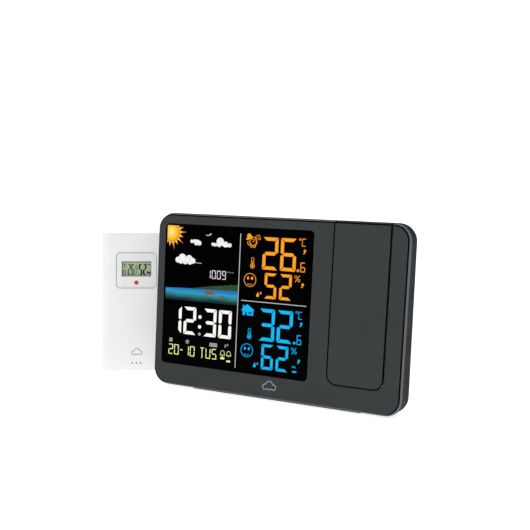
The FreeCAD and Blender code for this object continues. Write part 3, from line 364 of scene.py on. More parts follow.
def band(cx, cz, outer, inner, start=0, end=360, steps=36):
    """Ring, or a part of one, as a row of quads."""
    far = arc_points(cx, cz, outer, start, end, steps)
    near = arc_points(cx, cz, inner, start, end, steps)
    return [[near[i], far[i], far[i + 1], near[i + 1]] for i in range(steps)]


def stroke(points, width):
    """Line of a given width through points, as quads."""
    quads = []
    for (x0, z0), (x1, z1) in zip(points, points[1:]):
        length = math.hypot(x1 - x0, z1 - z0)
        nx, nz = -(z1 - z0) / length * width / 2, (x1 - x0) / length * width / 2
        quads.append([(x0 + nx, z0 + nz), (x0 - nx, z0 - nz), (x1 - nx, z1 - nz), (x1 + nx, z1 + nz)])
    return quads


def blob(circles, middle, steps=90):
    """Outline round overlapping circles, seen from a point inside all of it."""
    outline = []
    for i in range(steps):
        angle = 2 * math.pi * i / steps
        ux, uz = math.cos(angle), math.sin(angle)
        reach = 0.0
        for cx, cz, radius in circles:
            dx, dz = cx - middle[0], cz - middle[1]
            along = dx * ux + dz * uz
            gap = radius * radius - (dx * dx + dz * dz - along * along)
            if gap > 0:
                reach = max(reach, along + math.sqrt(gap))
        if reach > 0:
            outline.append((middle[0] + ux * reach, middle[1] + uz * reach))
    return [outline]


def between(inner, outer):
    """Closed row of quads between two outlines with the same number of points."""
    return [[inner[i - 1], outer[i - 1], outer[i], inner[i]] for i in range(len(outer))]


def rounded(x_centres, z_centres, radius, steps):
    """Outline with round corners, from the low and high centres of its corner arcs."""
    (x0, x1), (z0, z1) = x_centres, z_centres
    outline = []
    for corner, (cx, cz) in enumerate(((x1, z1), (x0, z1), (x0, z0), (x1, z0))):
        outline += arc_points(cx, cz, radius, corner * 90, corner * 90 + 90, steps)
    return outline


def blob_ring(circles, middle, width):
    """Line round overlapping circles, as quads."""
    outer = blob(circles, middle)[0]
    inner = blob([(cx, cz, radius - width) for cx, cz, radius in circles], middle)[0]
    return between(inner, outer)


def framed(x0, x1, z0, z1, edge):
    """Rectangular frame of a given line width, inside its limits."""
    low, high = z0 + edge, z1 - edge
    return [box_points(x0, x1, z0, low), box_points(x0, x1, high, z1),
            box_points(x0, x0 + edge, low, high), box_points(x1 - edge, x1, low, high)]


# ---- seven-segment figures -----------------------------------------------------------
SEGMENTS = {"0": "abcdef", "1": "bc", "2": "abged", "3": "abgcd", "4": "fgbc", "5": "afgcd",
            "6": "afgedc", "7": "abc", "8": "abcdefg", "9": "abcdfg", "C": "adef", "S": "afgcd",
            "T": "ahi", "U": "bcdef"}


def segment(letter, w, h, t, gap):
    """One segment of a figure, with mitred ends."""
    mid, half = h / 2, t / 2
    shapes = {
        "a": [(gap, h), (w - gap, h), (w - t - gap, h - t), (t + gap, h - t)],
        "d": [(gap, 0), (t + gap, t), (w - t - gap, t), (w - gap, 0)],
        "f": [(0, h - gap), (t, h - t - gap), (t, mid + half + gap), (half, mid + gap),
              (0, mid + gap + half * 0.6)],
        "g": [(half + gap, mid), (t + gap, mid + half), (w - t - gap, mid + half), (w - half - gap, mid),
              (w - t - gap, mid - half), (t + gap, mid - half)],
    }
    if letter in shapes:
        return shapes[letter]
    if letter in "hi":
        low, high = (mid + gap, h - t - gap) if letter == "h" else (0, mid - gap)
        return box_points((w - t) / 2, (w + t) / 2, low, high)
    if letter == "e":
        return [(x, h - z) for x, z in shapes["f"]]
    if letter == "b":
        return [(w - x, z) for x, z in shapes["f"]]
    return [(w - x, h - z) for x, z in shapes["f"]]


def figure(text, x, z, size, pitch, gap=0.32):
    """Row of seven-segment figures from its lower left corner. size is width, height and stroke."""
    w, h, t = size
    polygons = []
    for i, character in enumerate(text):
        for letter in SEGMENTS[character]:
            points = segment(letter, w, h, t, gap)
            polygons.append([(x + i * pitch + px, z + pz) for px, pz in points])
    return polygons


# ---- console display -----------------------------------------------------------------
WINDOW_FACE = 0.30               # depth of the window pane's front face
INK_FRONT, NEAR_LAYER, CLOUD_LAYER, FAR_LAYER, SEA_LAYER = 0.22, 0.235, 0.24, 0.245, 0.26
ACTIVE = ((-87.6, 28.0), (18.2, 118.8))     # lit area of the display, x and z limits
BIG, SMALL, TIME, DATE = (11.8, 22.6, 2.4), (9.2, 17.9, 2.0), (10.4, 20.2, 2.4), (3.95, 7.6, 0.66)
TENTH, PRESSURE = (3.5, 6.7, 0.6), (3.15, 6.1, 0.52)
PANEL_STEP = 50.0                # the lower readings repeat the upper ones this far down


def ink(name, polygons, paint, front=INK_FRONT, window=None):
    return decal(name, polygons, paint, console, front, WINDOW_FACE, window)


def lit_paint(name, colour, strength=1.0, specular=0.1):
    """Lit display ink, a little uneven as a backlight is."""
    paint = Paint(name, scale_colour(colour, 0.05)[:3], 0.5, specular=specular)
    low, high = scale_colour(colour, 0.93), scale_colour(colour, 1.0)
    glow = paint.ramp(paint.noise(9.0, 1.0), [(0.35, low), (0.6, high)])
    paint.links.new(glow, paint.shader.inputs["Emission Color"])
    paint.put("Emission Strength", strength)
    return paint


ORANGE, CYAN = srgb(255, 160, 32), srgb(0, 182, 242)
WHITE, YELLOW = srgb(252, 252, 246), srgb(236, 240, 150)


def thermometer(x, z):
    """Thermometer outline with its bulb at the lower end."""
    polygons = band(x, z, 1.8, 1.4) + disc(x, z, 0.85)
    polygons += [box_points(x - 0.2, x + 0.2, z + 1.0, z + 3.6)]
    for left, right in ((x - 1.1, x - 0.78), (x + 0.78, x + 1.1)):
        polygons.append(box_points(left, right, z + 1.6, z + 5.0))
    return polygons + band(x, z + 5.0, 1.1, 0.78, 0, 180, 12)


def drop(x, z, radius):
    """Drop of water, round below and drawn to a point above."""
    return [arc_points(x, z, radius, 160, 380, 16) + [(x + radius * 0.25, z + radius * 2.3)]]


def happy_face(x, z):
    polygons = band(x, z, 4.85, 4.42, steps=48)
    for side in (-1, 1):
        polygons.append([(x + side * 1.6 + px * 0.8, z + 1.3 + pz * 1.1)
                         for px, pz in disc(0, 0, 1, 16)[0]])
    return polygons + band(x, z - 0.9, 2.55, 2.2, 222, 318, 14)


def trend_mark(x, z):
    """Small curved arrow, up and to the right."""
    head = [(x - 0.7, z + 0.2), (x + 0.5, z - 0.6), (x + 1.5, z + 0.6), (x + 0.1, z + 1.6)]
    return [head] + stroke([(x + 0.6, z - 0.1), (x + 0.2, z - 1.0), (x - 0.7, z - 1.6)], 0.7)


def percent(x, z):
    """Percent sign from its lower left corner."""
    polygons = band(x + 1.1, z + 3.6, 1.0, 0.66, steps=20)
    polygons += band(x + 3.5, z + 1.2, 1.0, 0.66, steps=20)
    return polygons + stroke([(x + 0.6, z), (x + 4.0, z + 4.7)], 0.42)


def readings(base, whole, tenth, humidity):
    """Temperature and humidity figures of one panel, above its base height."""
    x_temp, z_temp = -8.95, base + 91.45
    polygons = figure(whole, x_temp, z_temp, BIG, 13.75)
    polygons += disc(18.45, z_temp + 0.95, 0.95)
    polygons += figure(tenth, 20.15, z_temp, TENTH, 4.4, 0.1)
    polygons += band(19.0, z_temp + 22.3, 0.8, 0.45, steps=20)
    polygons += figure("C", 20.45, z_temp + 17.6, (3.1, 5.3, 0.48), 4.0, 0.08)
    polygons += figure(humidity, -6.4, base + 71.3, SMALL, 11.5)
    return polygons + percent(16.1, base + 84.4)


def small_signs(base, lower_trend):
    """Thermometer, face, drops and trend marks of one panel."""
    polygons = thermometer(-16.5, base + 93.3) + happy_face(-17.95, base + 83.35)
    polygons += drop(-11.4, base + 72.95, 1.1) + drop(-9.1, base + 74.5, 0.62)
    return polygons + trend_mark(22.6, base + 105.6) + trend_mark(22.2, base + lower_trend)


def outdoor_sign():
    """Outlined tree and cloud with a filled sun, for the outdoor readings."""
    sun = blob([(-20.1, 114.3, 1.6), (-18.8, 113.4, 1.4), (-19.6, 113.2, 1.3)], (-19.5, 113.7))
    leaves = blob([(-21.4, 112.1, 0.85), (-20.7, 112.0, 0.6)], (-21.2, 112.1))
    boughs = [(-16.6, 111.4, 2.2), (-17.9, 110.0, 1.7), (-15.3, 110.0, 1.8), (-16.6, 108.9, 1.7)]
    crown = blob_ring(boughs, (-16.6, 110.2), 0.4)
    branch = stroke([(-17.5, 111.8), (-16.2, 112.0), (-16.0, 110.8), (-17.2, 110.0)], 0.4)
    puffs = [(-14.2, 113.6, 1.1), (-12.6, 114.0, 1.25), (-11.9, 112.7, 0.95)]
    cloud = blob_ring(puffs, (-13.0, 113.5), 0.35)
    bush = blob_ring([(-20.3, 109.4, 1.1), (-19.7, 108.4, 0.9)], (-20.0, 109.0), 0.35)
    trunk = band(-18.0, 106.9, 0.85, 0.5, steps=20) + band(-15.7, 106.9, 0.85, 0.5, steps=20)
    stem = stroke([(-14.2, 112.0), (-14.6, 108.2), (-15.0, 106.6)], 0.35)
    return sun + leaves + crown + branch + cloud + bush + trunk + stem


def house_sign():
    """House with a pitched roof, chimney and windows, for the indoor readings."""
    roof = [[(-23.6, 62.0), (-19.3, 66.0), (-18.9, 66.0), (-13.6, 62.4), (-13.6, 61.6), (-23.6, 61.2)]]
    chimney = [box_points(-22.6, -21.4, 62.9, 65.4)]
    wall = [box_points(-22.6, -20.6, 58.3, 61.2), box_points(-20.6, -19.3, 60.4, 61.2),
            box_points(-19.3, -14.2, 58.3, 59.2), box_points(-19.3, -18.0, 59.2, 61.3),
            box_points(-15.5, -14.2, 59.2, 61.5), box_points(-18.0, -15.5, 60.9, 61.5)]
    pane = [box_points(-16.95, -16.55, 59.2, 60.9)]
    return roof + chimney + wall + pane


def bell_sign(x, z):
    """Outlined alarm bell with its clapper."""
    sides = stroke([(x - 1.45, z + 3.3), (x - 1.55, z + 2.1), (x - 2.0, z + 1.5), (x + 2.0, z + 1.5),
                    (x + 1.55, z + 2.1), (x + 1.45, z + 3.3)], 0.35)
    return band(x, z + 3.3, 1.6, 1.25, 0, 180, 14) + sides + disc(x, z + 0.9, 0.4, 12)


def clock_readings():
    """Time, with its colon."""
    polygons = figure("12", -83.35, 39.75, TIME, 12.4) + figure("30", -54.0, 39.75, TIME, 12.4)
    return polygons + disc(-57.3, 53.4, 1.3) + disc(-57.3, 46.2, 1.3)


def moon_sign():
    """Moon phase mark under the colon."""
    return band(-57.4, 40.9, 1.1, 0.9, 90, 270, 14) + band(-57.4, 40.9, 1.1, 0.25, -90, 90, 14)


def dividers():
    upright = stroke([(-26.8, 19.8), (-26.8, 115.6)], 0.5)
    return upright + stroke([(-24.2, 68.5), (26.0, 68.5)], 0.5)


def pressure_row():
    return figure("1009", -52.95, 82.0, PRESSURE, 4.15, 0.14)


def pressure_unit():
    """Fine line of print after the pressure, too small to read."""
    marks = [box_points(-36.6 + i * 1.0, -36.0 + i * 1.0, 87.1, 87.7) for i in range(6)]
    return marks + [box_points(-35.6, -35.2, 87.7, 88.3)]


def date_row():
    polygons = figure("20", -83.2, 23.7, DATE, 4.9, 0.16)
    polygons += [box_points(-73.2, -71.0, 27.3, 28.0)]
    polygons += figure("10", -69.6, 23.7, DATE, 4.9, 0.16)
    polygons += figure("TUS", -56.4, 23.7, DATE, 5.0, 0.16)
    polygons += bell_sign(-37.4, 26.2) + bell_sign(-32.4, 26.2)
    return polygons + [box_points(-39.0, -35.8, 24.6, 26.2), box_points(-34.0, -30.9, 23.0, 24.3)]


def label_row():
    """Small framed marks over the date: a dial, a clock, a radio mark and a sleep mark."""
    polygons = framed(-82.6, -80.2, 33.0, 35.7, 0.42) + disc(-81.4, 34.3, 0.55, 12)
    polygons += band(-67.2, 34.2, 1.35, 1.0, steps=20)
    polygons += stroke([(-67.2, 35.0), (-67.2, 34.1), (-66.6, 34.1)], 0.25)
    polygons += framed(-48.4, -42.2, 32.9, 35.4, 0.4)
    polygons += [box_points(-47.4 + i * 1.55, -46.3 + i * 1.55, 33.7, 34.6) for i in range(3)]
    polygons += stroke([(-35.9, 35.2), (-34.6, 35.2), (-35.9, 33.6), (-34.6, 33.6)], 0.3)
    return polygons + stroke([(-33.9, 35.9), (-33.1, 35.9), (-33.9, 34.9), (-33.1, 34.9)], 0.25)


SUN_CENTRE, SUN_R, SHORT_RAY, LONG_RAY = (-84.1, 113.9), 7.0, 3.8, 6.3
CLOUDS = [
    ([(-66.6, 108.0, 1.3), (-64.2, 108.2, 1.35), (-61.9, 107.7, 1.75), (-60.3, 107.0, 1.75),
      (-62.9, 106.7, 1.5)], (-62.9, 107.3)),
    ([(-43.1, 108.8, 3.0), (-48.9, 106.8, 1.3), (-47.0, 106.5, 1.3), (-38.6, 107.3, 1.9),
      (-35.3, 106.8, 1.6), (-43.8, 106.4, 1.4), (-38.8, 106.3, 1.3)], (-42.6, 106.9)),
    ([(-74.1, 95.2, 3.3), (-68.4, 94.9, 2.9), (-77.9, 93.9, 2.1), (-65.1, 93.8, 2.1), (-71.6, 93.3, 2.4),
      (-75.2, 93.1, 2.0), (-67.6, 92.9, 2.0)], (-71.6, 94.0)),
]
SEA_TOP, SEA_BOTTOM, SEA_ENDS = 74.6, 64.4, (-87.6, -27.4)


def sun_disc():
    return disc(SUN_CENTRE[0], SUN_CENTRE[1], SUN_R, 48)


def sun_rays():
    """Long and short flame-shaped rays that join round the disc."""
    polygons, count = [], 18
    for i in range(count):
        middle = 2 - 360.0 * i / count
        tip = SUN_R + (SHORT_RAY if i % 2 else LONG_RAY)
        root = arc_points(*SUN_CENTRE, SUN_R - 0.1, middle - 10, middle + 10, 5)
        waist = arc_points(*SUN_CENTRE, SUN_R + 1.7, middle + 3.6, middle - 3.6, 1)
        point = arc_points(*SUN_CENTRE, tip, middle, middle, 1)[0]
        polygons += [root + waist, [waist[0], point, waist[1]]]
    return polygons


def sea_line(x):
    """Height of the sea's far edge, a little lower at the left."""
    start, end = SEA_ENDS
    return SEA_TOP - 1.7 * max(0.0, (end - x) / (end - start)) ** 1.6


def strip(start, end, low, high, steps=40):
    """Row of quads between two heights that are functions of x."""
    edges = [start + (end - start) * i / steps for i in range(steps + 1)]
    return [[(x0, low(x0)), (x1, low(x1)), (x1, high(x1)), (x0, high(x0))]
            for x0, x1 in zip(edges, edges[1:])]


def sea():
    return strip(*SEA_ENDS, lambda x: SEA_BOTTOM, sea_line)


def headland():
    """Wooded shore behind the sea, rising to the right, with an uneven skyline."""
    start, end = -65.3, SEA_ENDS[1]

    def skyline(x):
        along = max(0.0, (x - start) / (end - start))
        trees = math.sin(x * 1.3) + math.sin(x * 2.9)
        return sea_line(x) + 4.4 * along ** 0.85 + 0.25 * along * trees + 0.02

    return strip(start, end, lambda x: sea_line(x) - 0.3, skyline, 60)


def rocks():
    big = [(-51.2, 71.8, 1.7), (-48.4, 71.9, 1.6), (-53.4, 71.0, 1.0), (-46.3, 70.9, 1.0)]
    small = [(-41.3, 69.7, 0.8), (-39.5, 69.8, 0.9), (-38.0, 69.5, 0.6)]
    return blob(big, (-50.0, 71.4)) + blob(small, (-39.7, 69.7))


def sea_paint():
    """Blue at the horizon through turquoise to black at the near edge, with ripples."""
    paint = Paint("display_sea", (0.0, 0.01, 0.02), 0.5, specular=0.1)
    split = paint.node("ShaderNodeSeparateXYZ")
    paint.links.new(paint.place, split.inputs["Vector"])
    top, bottom = (console.point(0, WINDOW_FACE, z).z for z in (SEA_TOP, SEA_BOTTOM))
    span = paint.node("ShaderNodeMapRange")
    span.inputs["From Min"].default_value, span.inputs["From Max"].default_value = bottom, top
    paint.links.new(split.outputs["Z"], span.inputs["Value"])
    ripple = paint.node("ShaderNodeMath", operation="MULTIPLY_ADD")
    ripple.inputs[1].default_value = 0.30
    paint.links.new(paint.noise(2.2, 4.0, (0.16, 1, 1)), ripple.inputs[0])
    paint.links.new(span.outputs["Result"], ripple.inputs[2])
    shades = [(0.14, (0, 0, 0)), (0.30, srgb(20, 44, 42)), (0.48, srgb(46, 100, 94)),
              (0.62, srgb(32, 136, 148)), (0.76, srgb(24, 160, 196)), (0.90, srgb(36, 132, 204)),
              (1.0, srgb(34, 112, 178))]
    paint.links.new(paint.ramp(ripple.outputs["Value"], shades), paint.shader.inputs["Emission Color"])
    paint.put("Emission Strength", 1.0)
    return paint


def patchy_light(name, colours, size_mm):
    """Lit ink that drifts between colours."""
    paint = Paint(name, (0.01, 0.01, 0.01), 0.5, specular=0.1)
    stops = [(0.3 + 0.4 * i / (len(colours) - 1), colour) for i, colour in enumerate(colours)]
    paint.links.new(paint.ramp(paint.noise(size_mm, 4.0), stops), paint.shader.inputs["Emission Color"])
    paint.put("Emission Strength", 1.0)
    return paint


def radial_light(name, middle, reach_mm, stops):
    """Lit ink that changes colour with the distance from a point of the display."""
    paint = Paint(name, (0.05, 0.03, 0.0), 0.5, specular=0.1)
    away = paint.node("ShaderNodeVectorMath", operation="DISTANCE")
    paint.links.new(paint.place, away.inputs[0])
    away.inputs[1].default_value = console.point(middle[0], WINDOW_FACE, middle[1])
    span = paint.node("ShaderNodeMapRange")
    span.inputs["From Max"].default_value = reach_mm * MM
    paint.links.new(away.outputs["Value"], span.inputs["Value"])
    paint.links.new(paint.ramp(span.outputs["Result"], stops), paint.shader.inputs["Emission Color"])
    paint.put("Emission Strength", 1.0)
    return paint


def build_display():
    orange, cyan = lit_paint("display_orange", ORANGE), lit_paint("display_cyan", CYAN)
    white, yellow = lit_paint("display_white", WHITE), lit_paint("display_yellow", YELLOW)
    grey = lit_paint("display_grey", srgb(196, 198, 200))
    ink("outdoor_readings", readings(0, "26", "6", "52"), orange)
    ink("outdoor_signs", small_signs(0, 82.6) + outdoor_sign(), orange)
    ink("indoor_readings", readings(-PANEL_STEP, "32", "6", "62"), cyan)
    alert = [box_points(17.9, 21.1, 21.9, 22.9)]
    alert += stroke([(17.6, 26.4), (18.6, 25.0), (19.4, 26.2), (20.4, 25.0)], 0.4)
    ink("indoor_signs", small_signs(-PANEL_STEP, 80.0) + house_sign() + alert, cyan)
    ink("clock_readings", clock_readings(), white)
    ink("pressure_reading", pressure_row(), lit_paint("display_soft_white", srgb(225, 226, 228)))
    ink("pressure_unit", pressure_unit(), lit_paint("display_dim_white", srgb(120, 121, 122)))
    ink("date_readings", date_row(), yellow)
    ink("display_marks", label_row() + moon_sign(), grey)
    ink("display_dividers", dividers(), grey)
    ink("display_sea", sea(), sea_paint(), SEA_LAYER)
    greens = [srgb(4, 20, 10), srgb(34, 84, 36), srgb(14, 44, 18), srgb(52, 104, 44)]
    ink("display_shore", headland(), patchy_light("display_shore", greens, 1.1), FAR_LAYER)
    browns = [srgb(44, 20, 12), srgb(150, 92, 74), srgb(92, 44, 30), srgb(196, 150, 132)]
    ink("display_rocks", rocks(), patchy_light("display_rocks", browns, 0.8), NEAR_LAYER)
    warm = [(0.0, srgb(255, 240, 180)), (0.35, srgb(255, 208, 70)), (0.72, srgb(248, 172, 30)),
            (0.86, srgb(226, 130, 22)), (0.9, srgb(176, 88, 20))]
    disc_light = radial_light("display_sun", SUN_CENTRE, SUN_R * 1.1, warm)
    ink("display_sun", sun_disc(), disc_light, NEAR_LAYER, ACTIVE)
    flame = [(0.5, srgb(252, 200, 120)), (0.66, srgb(246, 168, 60)), (0.85, srgb(214, 110, 24)),
             (1.0, srgb(150, 66, 16))]
    rays = radial_light("display_rays", SUN_CENTRE, SUN_R + LONG_RAY, flame)
    ink("display_sun_rays", sun_rays(), rays, FAR_LAYER, ACTIVE)
    for number, (circles, middle) in enumerate(CLOUDS, start=1):
        paint = patchy_light(f"display_cloud_{number}", [srgb(222, 222, 220), srgb(250, 250, 248)], 2.5)
        ink(f"display_cloud_{number}", blob(circles, middle), paint, CLOUD_LAYER)
    wisps = stroke([(-63.4, 92.7), (-57.8, 92.4)], 0.4)
    wisps += stroke([(-54.9, 113.3), (-54.4, 112.7), (-52.6, 112.8)], 0.5)
    wisps += stroke([(-52.6, 112.8), (-50.6, 114.2)], 0.85)
    ink("display_wisps", wisps, grey, NEAR_LAYER)


# ---- small marks on the two housings -------------------------------------------------
MARK_FRONT, MARK_BACK = -0.04, 0.1          # a mark stands this far out of a front face
SENSOR_LCD_Y = 1.3


def cloud_mark(name, housing, x, z, scale, paint):
    """Plain cloud outline where a maker would put a mark."""
    circles = [(-2.6, -0.3, 1.9), (0.2, 0.9, 2.7), (2.9, -0.2, 1.9), (0.2, -1.0, 1.2)]
    placed = [(x + cx * scale, z + cz * scale, radius * scale) for cx, cz, radius in circles]
    quads = blob_ring(placed, (x, z - 0.3 * scale), 0.5 * scale)
    return decal(name, quads, paint, housing, MARK_FRONT, MARK_BACK)


def sensor_figures():
    """Readings of the sensor's display: temperature at the left, humidity at the right."""
    slim, heavy = (2.5, 8.6, 0.8), (2.9, 8.8, 1.2)
    polygons = figure("2", -7.1, 76.5, slim, 3, 0.12) + figure("6", -4.1, 76.5, slim, 3, 0.12)
    polygons += figure("6", -0.8, 80.9, (1.6, 3.4, 0.42), 2, 0.06) + [box_points(-0.9, -0.2, 76.5, 77.2)]
    polygons += figure("C", -0.2, 77.9, (1.2, 2.2, 0.36), 2, 0.05)
    polygons += figure("52", 1.7, 76.4, heavy, 3.35, 0.1)
    polygons += [box_points(8.6, 11.0, 84.4, 85.0)]
    polygons += [[(-10.6, 85.4), (-9.5, 84.1), (-8.4, 85.4)], box_points(-9.75, -9.25, 81.7, 84.2)]
    polygons += framed(-10.5, -8.7, 76.7, 80.2, 0.45)
    polygons += stroke([(8.3, 79.3), (10.8, 76.9)], 0.95)
    return polygons + disc(8.6, 77.8, 0.6, 12) + disc(10.6, 78.6, 0.6, 12)


def build_sensor_marks():
    """Display figures, painted shade along the display's edge, line round the bezel, painted shade in
    the vents and the cloud outline.
    """
    dark = Paint("sensor_figures", srgb(10, 12, 10), 0.5, specular=0.1)
    dark.mottle(1.2, 0.25).grain(0.3, 0.004)
    decal("sensor_display_figures", sensor_figures(), dark, sensor, 1.24, SENSOR_LCD_Y)
    # Painted shade: a dark green band round the display stands for the shadow of the window's bevel.
    green = Paint("painted_display_bevel_shade", srgb(62, 78, 56), 0.45).mottle(4.0, 0.12).grain(0.4, 0.004)
    border = framed(-11.72, 11.72, 75.23, 87.17, 0.65)
    decal("sensor_display_bevel_shade", border, green, sensor, 1.2, SENSOR_LCD_Y)
    grey = Paint("sensor_print", srgb(122, 124, 126), 0.5).mottle(1.0, 0.15).grain(0.2, 0.004)
    cloud_mark("sensor_cloud_mark", sensor, 0.3, 14.6, 0.95, grey)
    line = Paint("sensor_line", srgb(158, 160, 163), 0.6).mottle(5.0, 0.08).grain(0.3, 0.004)
    inner, outer = (rounded((-12.9, 12.9), (69.05, 90.95), radius, 8) for radius in (3.0, 3.45))
    decal("sensor_bezel_line", between(inner, outer), line, sensor, -0.03, MARK_BACK)
    # Painted shade: dark discs set just inside the vent holes stand for the shade within them.
    vent = Paint("vent_shadow", srgb(6, 6, 7), 0.9, specular=0.0).mottle(1.0, 0.2).grain(0.3, 0.004)
    holes = [polygon for i in (-1, 0, 1) for polygon in disc(3.4 * i, 6.2, 0.59, 20)]
    decal("sensor_vent_shade", holes, vent, sensor, 0.05, 0.3)


def build_console_mark():
    silver = Paint("console_print", srgb(150, 153, 156), 0.42, specular=0.4).mottle(1.5, 0.12)
    silver.grain(0.25, 0.006)
    cloud_mark("console_cloud_mark", console, 0.9, 9.6, 1.15, silver)


# ---- backs of the two housings -------------------------------------------------------
# Signs here are laid out along +x, so from behind they are mirrored, the figures included.
REAR_KEYS, KEY_PITCH, KEY_X, KEY_Z = 6, 15.0, -78.0, 106.0
PRINT_LIFT, PRINT_DEPTH = 0.04, -0.1
CELL_X, CELL_Z = -58.0, 46.0
SENSOR_BACK_Y = 21.0


def clock_icon(x, z):
    return band(x, z, 1.9, 1.55, steps=28) + stroke([(x, z + 1.2), (x, z), (x + 0.8, z)], 0.3)


def arrow_icon(x, z, way):
    return [[(x - 1.5, z - way * 0.9), (x + 1.5, z - way * 0.9), (x, z + way * 1.5)]]


def waves_icon(x, z):
    rings = [band(x, z - 1.2, radius, radius - 0.32, 50, 130, 10) for radius in (1.2, 2.1, 3.0)]
    return disc(x, z - 1.1, 0.42, 14) + [quad for ring in rings for quad in ring]


def chart_icon(x, z):
    bars = [box_points(x - 1.7 + i * 1.25, x - 0.9 + i * 1.25, z - 1.6, z - 0.4 + i * 0.8)
            for i in range(3)]
    return bars + [box_points(x - 2.0, x + 2.0, z - 2.0, z - 1.75)]


def polarity_icon(x, z):
    """Centre-positive mark: along +x a minus, a dot in a broken ring, and a plus."""
    polygons = disc(x, z, 0.5, 16) + band(x, z, 1.4, 1.1, 40, 320, 24)
    lines = [((x, z), (x + 2.6, z)), ((x - 2.6, z), (x - 1.4, z)), ((x + 3.0, z), (x + 4.4, z)),
             ((x + 3.7, z - 0.7), (x + 3.7, z - 0.18)), ((x + 3.7, z + 0.18), (x + 3.7, z + 0.7)),
             ((x - 4.2, z), (x - 3.0, z))]
    for line in lines:
        polygons += stroke(line, 0.33)
    return polygons


def build_console_back():
    """Printed signs beside the keys, jack and cell door, and a plain plate."""
    rear_up = Vector((1, 0, 0)).cross(Vector(JOINTS["cell_door_twist"]["axis"]))
    rear = Housing("console", (1, 0, 0), rear_up, JOINTS["cell_door_twist"]["pos_m"],
                   (CELL_X, 0.0, CELL_Z))
    pale = Paint("back_print", srgb(168, 170, 172), 0.5).mottle(1.2, 0.12).grain(0.2, 0.004)
    signs = [clock_icon, lambda x, z: arrow_icon(x, z, 1), lambda x, z: arrow_icon(x, z, -1),
             lambda x, z: bell_sign(x, z - 2.8), chart_icon, waves_icon]
    polygons = []
    for i in range(REAR_KEYS):
        polygons += signs[i](KEY_X + i * KEY_PITCH, KEY_Z - 6.2)
    polygons += polarity_icon(76.4, 8.6)
    for start in (200, 320):
        polygons += band(CELL_X, CELL_Z, 17.0, 16.5, start, start + 40, 16)
        head = ((15.9, start + 39), (17.6, start + 39), (16.75, start + 44))
        polygons.append([arc_points(CELL_X, CELL_Z, radius, at, at, 1)[0] for radius, at in head])
    decal("back_signs", polygons, pale, rear, PRINT_LIFT, PRINT_DEPTH)
    plate = Paint("back_plate", srgb(176, 178, 180), 0.33, metallic=0.35).mottle(12.0, 0.04)
    plate.grain(0.4, 0.004, 0.4, (6, 1, 1))
    outline = rounded((-28.0, 20.0), (58.0, 82.0), 2.0, 6)
    decal("back_plate", [outline], plate, rear, 0.12, PRINT_DEPTH)


def build_sensor_back():
    """Channel figures over the switch and a radio sign over the button."""
    holder = Paint("sensor_back_print", srgb(130, 132, 134), 0.5).mottle(1.0, 0.12).grain(0.2, 0.004)
    polygons = []
    for i in range(3):
        polygons += figure(str(i + 1), 4.9 + i * 2.6, 99.6, (1.3, 2.2, 0.3), 2.0, 0.03)
    polygons += waves_icon(-8.0, 101.6)
    decal("sensor_back_signs", polygons, holder, sensor, SENSOR_BACK_Y + PRINT_LIFT,
          SENSOR_BACK_Y + PRINT_DEPTH)


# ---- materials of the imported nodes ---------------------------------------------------
def cover(paint, *names):
    """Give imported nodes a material."""
    for name in names:
        for slot in frame["nodes"][name].material_slots:
            slot.material = paint.material


def window_paint():
    """Black-backed pane over the display, dark and softly polished."""
    paint = Paint("display_window", srgb(2, 2, 3), 0.08, specular=0.006)
    return paint.mottle(30.0, 0.2).gloss_change(26.0, 0.05, 0.10).grain(5.0, 0.003, 0.1)


def fascia_paint(name, shade):
    """Finely sparked charcoal plastic, almost flat."""
    paint = Paint(name, shade, 0.62, specular=0.3)
    paint.mottle(45.0, 0.035).gloss_change(18.0, 0.58, 0.68)
    return paint.grain(0.3, 0.014, 0.45).grain(4.5, 0.02, 0.1)


BATTERY_MM = 45


def battery_paint():
    """Printed sleeve: pale, with a dark blue lower end."""
    paint = Paint("battery_sleeve", srgb(28, 60, 120), 0.3)
    split = paint.node("ShaderNodeSeparateXYZ")
    paint.links.new(paint.place, split.inputs["Vector"])
    height = paint.node("ShaderNodeMath", operation="MULTIPLY_ADD")
    height.inputs[1].default_value, height.inputs[2].default_value = 1 / (BATTERY_MM * MM), -0.35
    paint.links.new(split.outputs["Z"], height.inputs[0])
    stops = [(0.55, srgb(28, 60, 120)), (0.56, srgb(190, 194, 200)), (0.8, srgb(200, 202, 206))]
    paint.links.new(paint.ramp(height.outputs["Value"], stops), paint.shader.inputs["Base Color"])
    return paint.gloss_change(8.0, 0.24, 0.36).grain(0.6, 0.004)


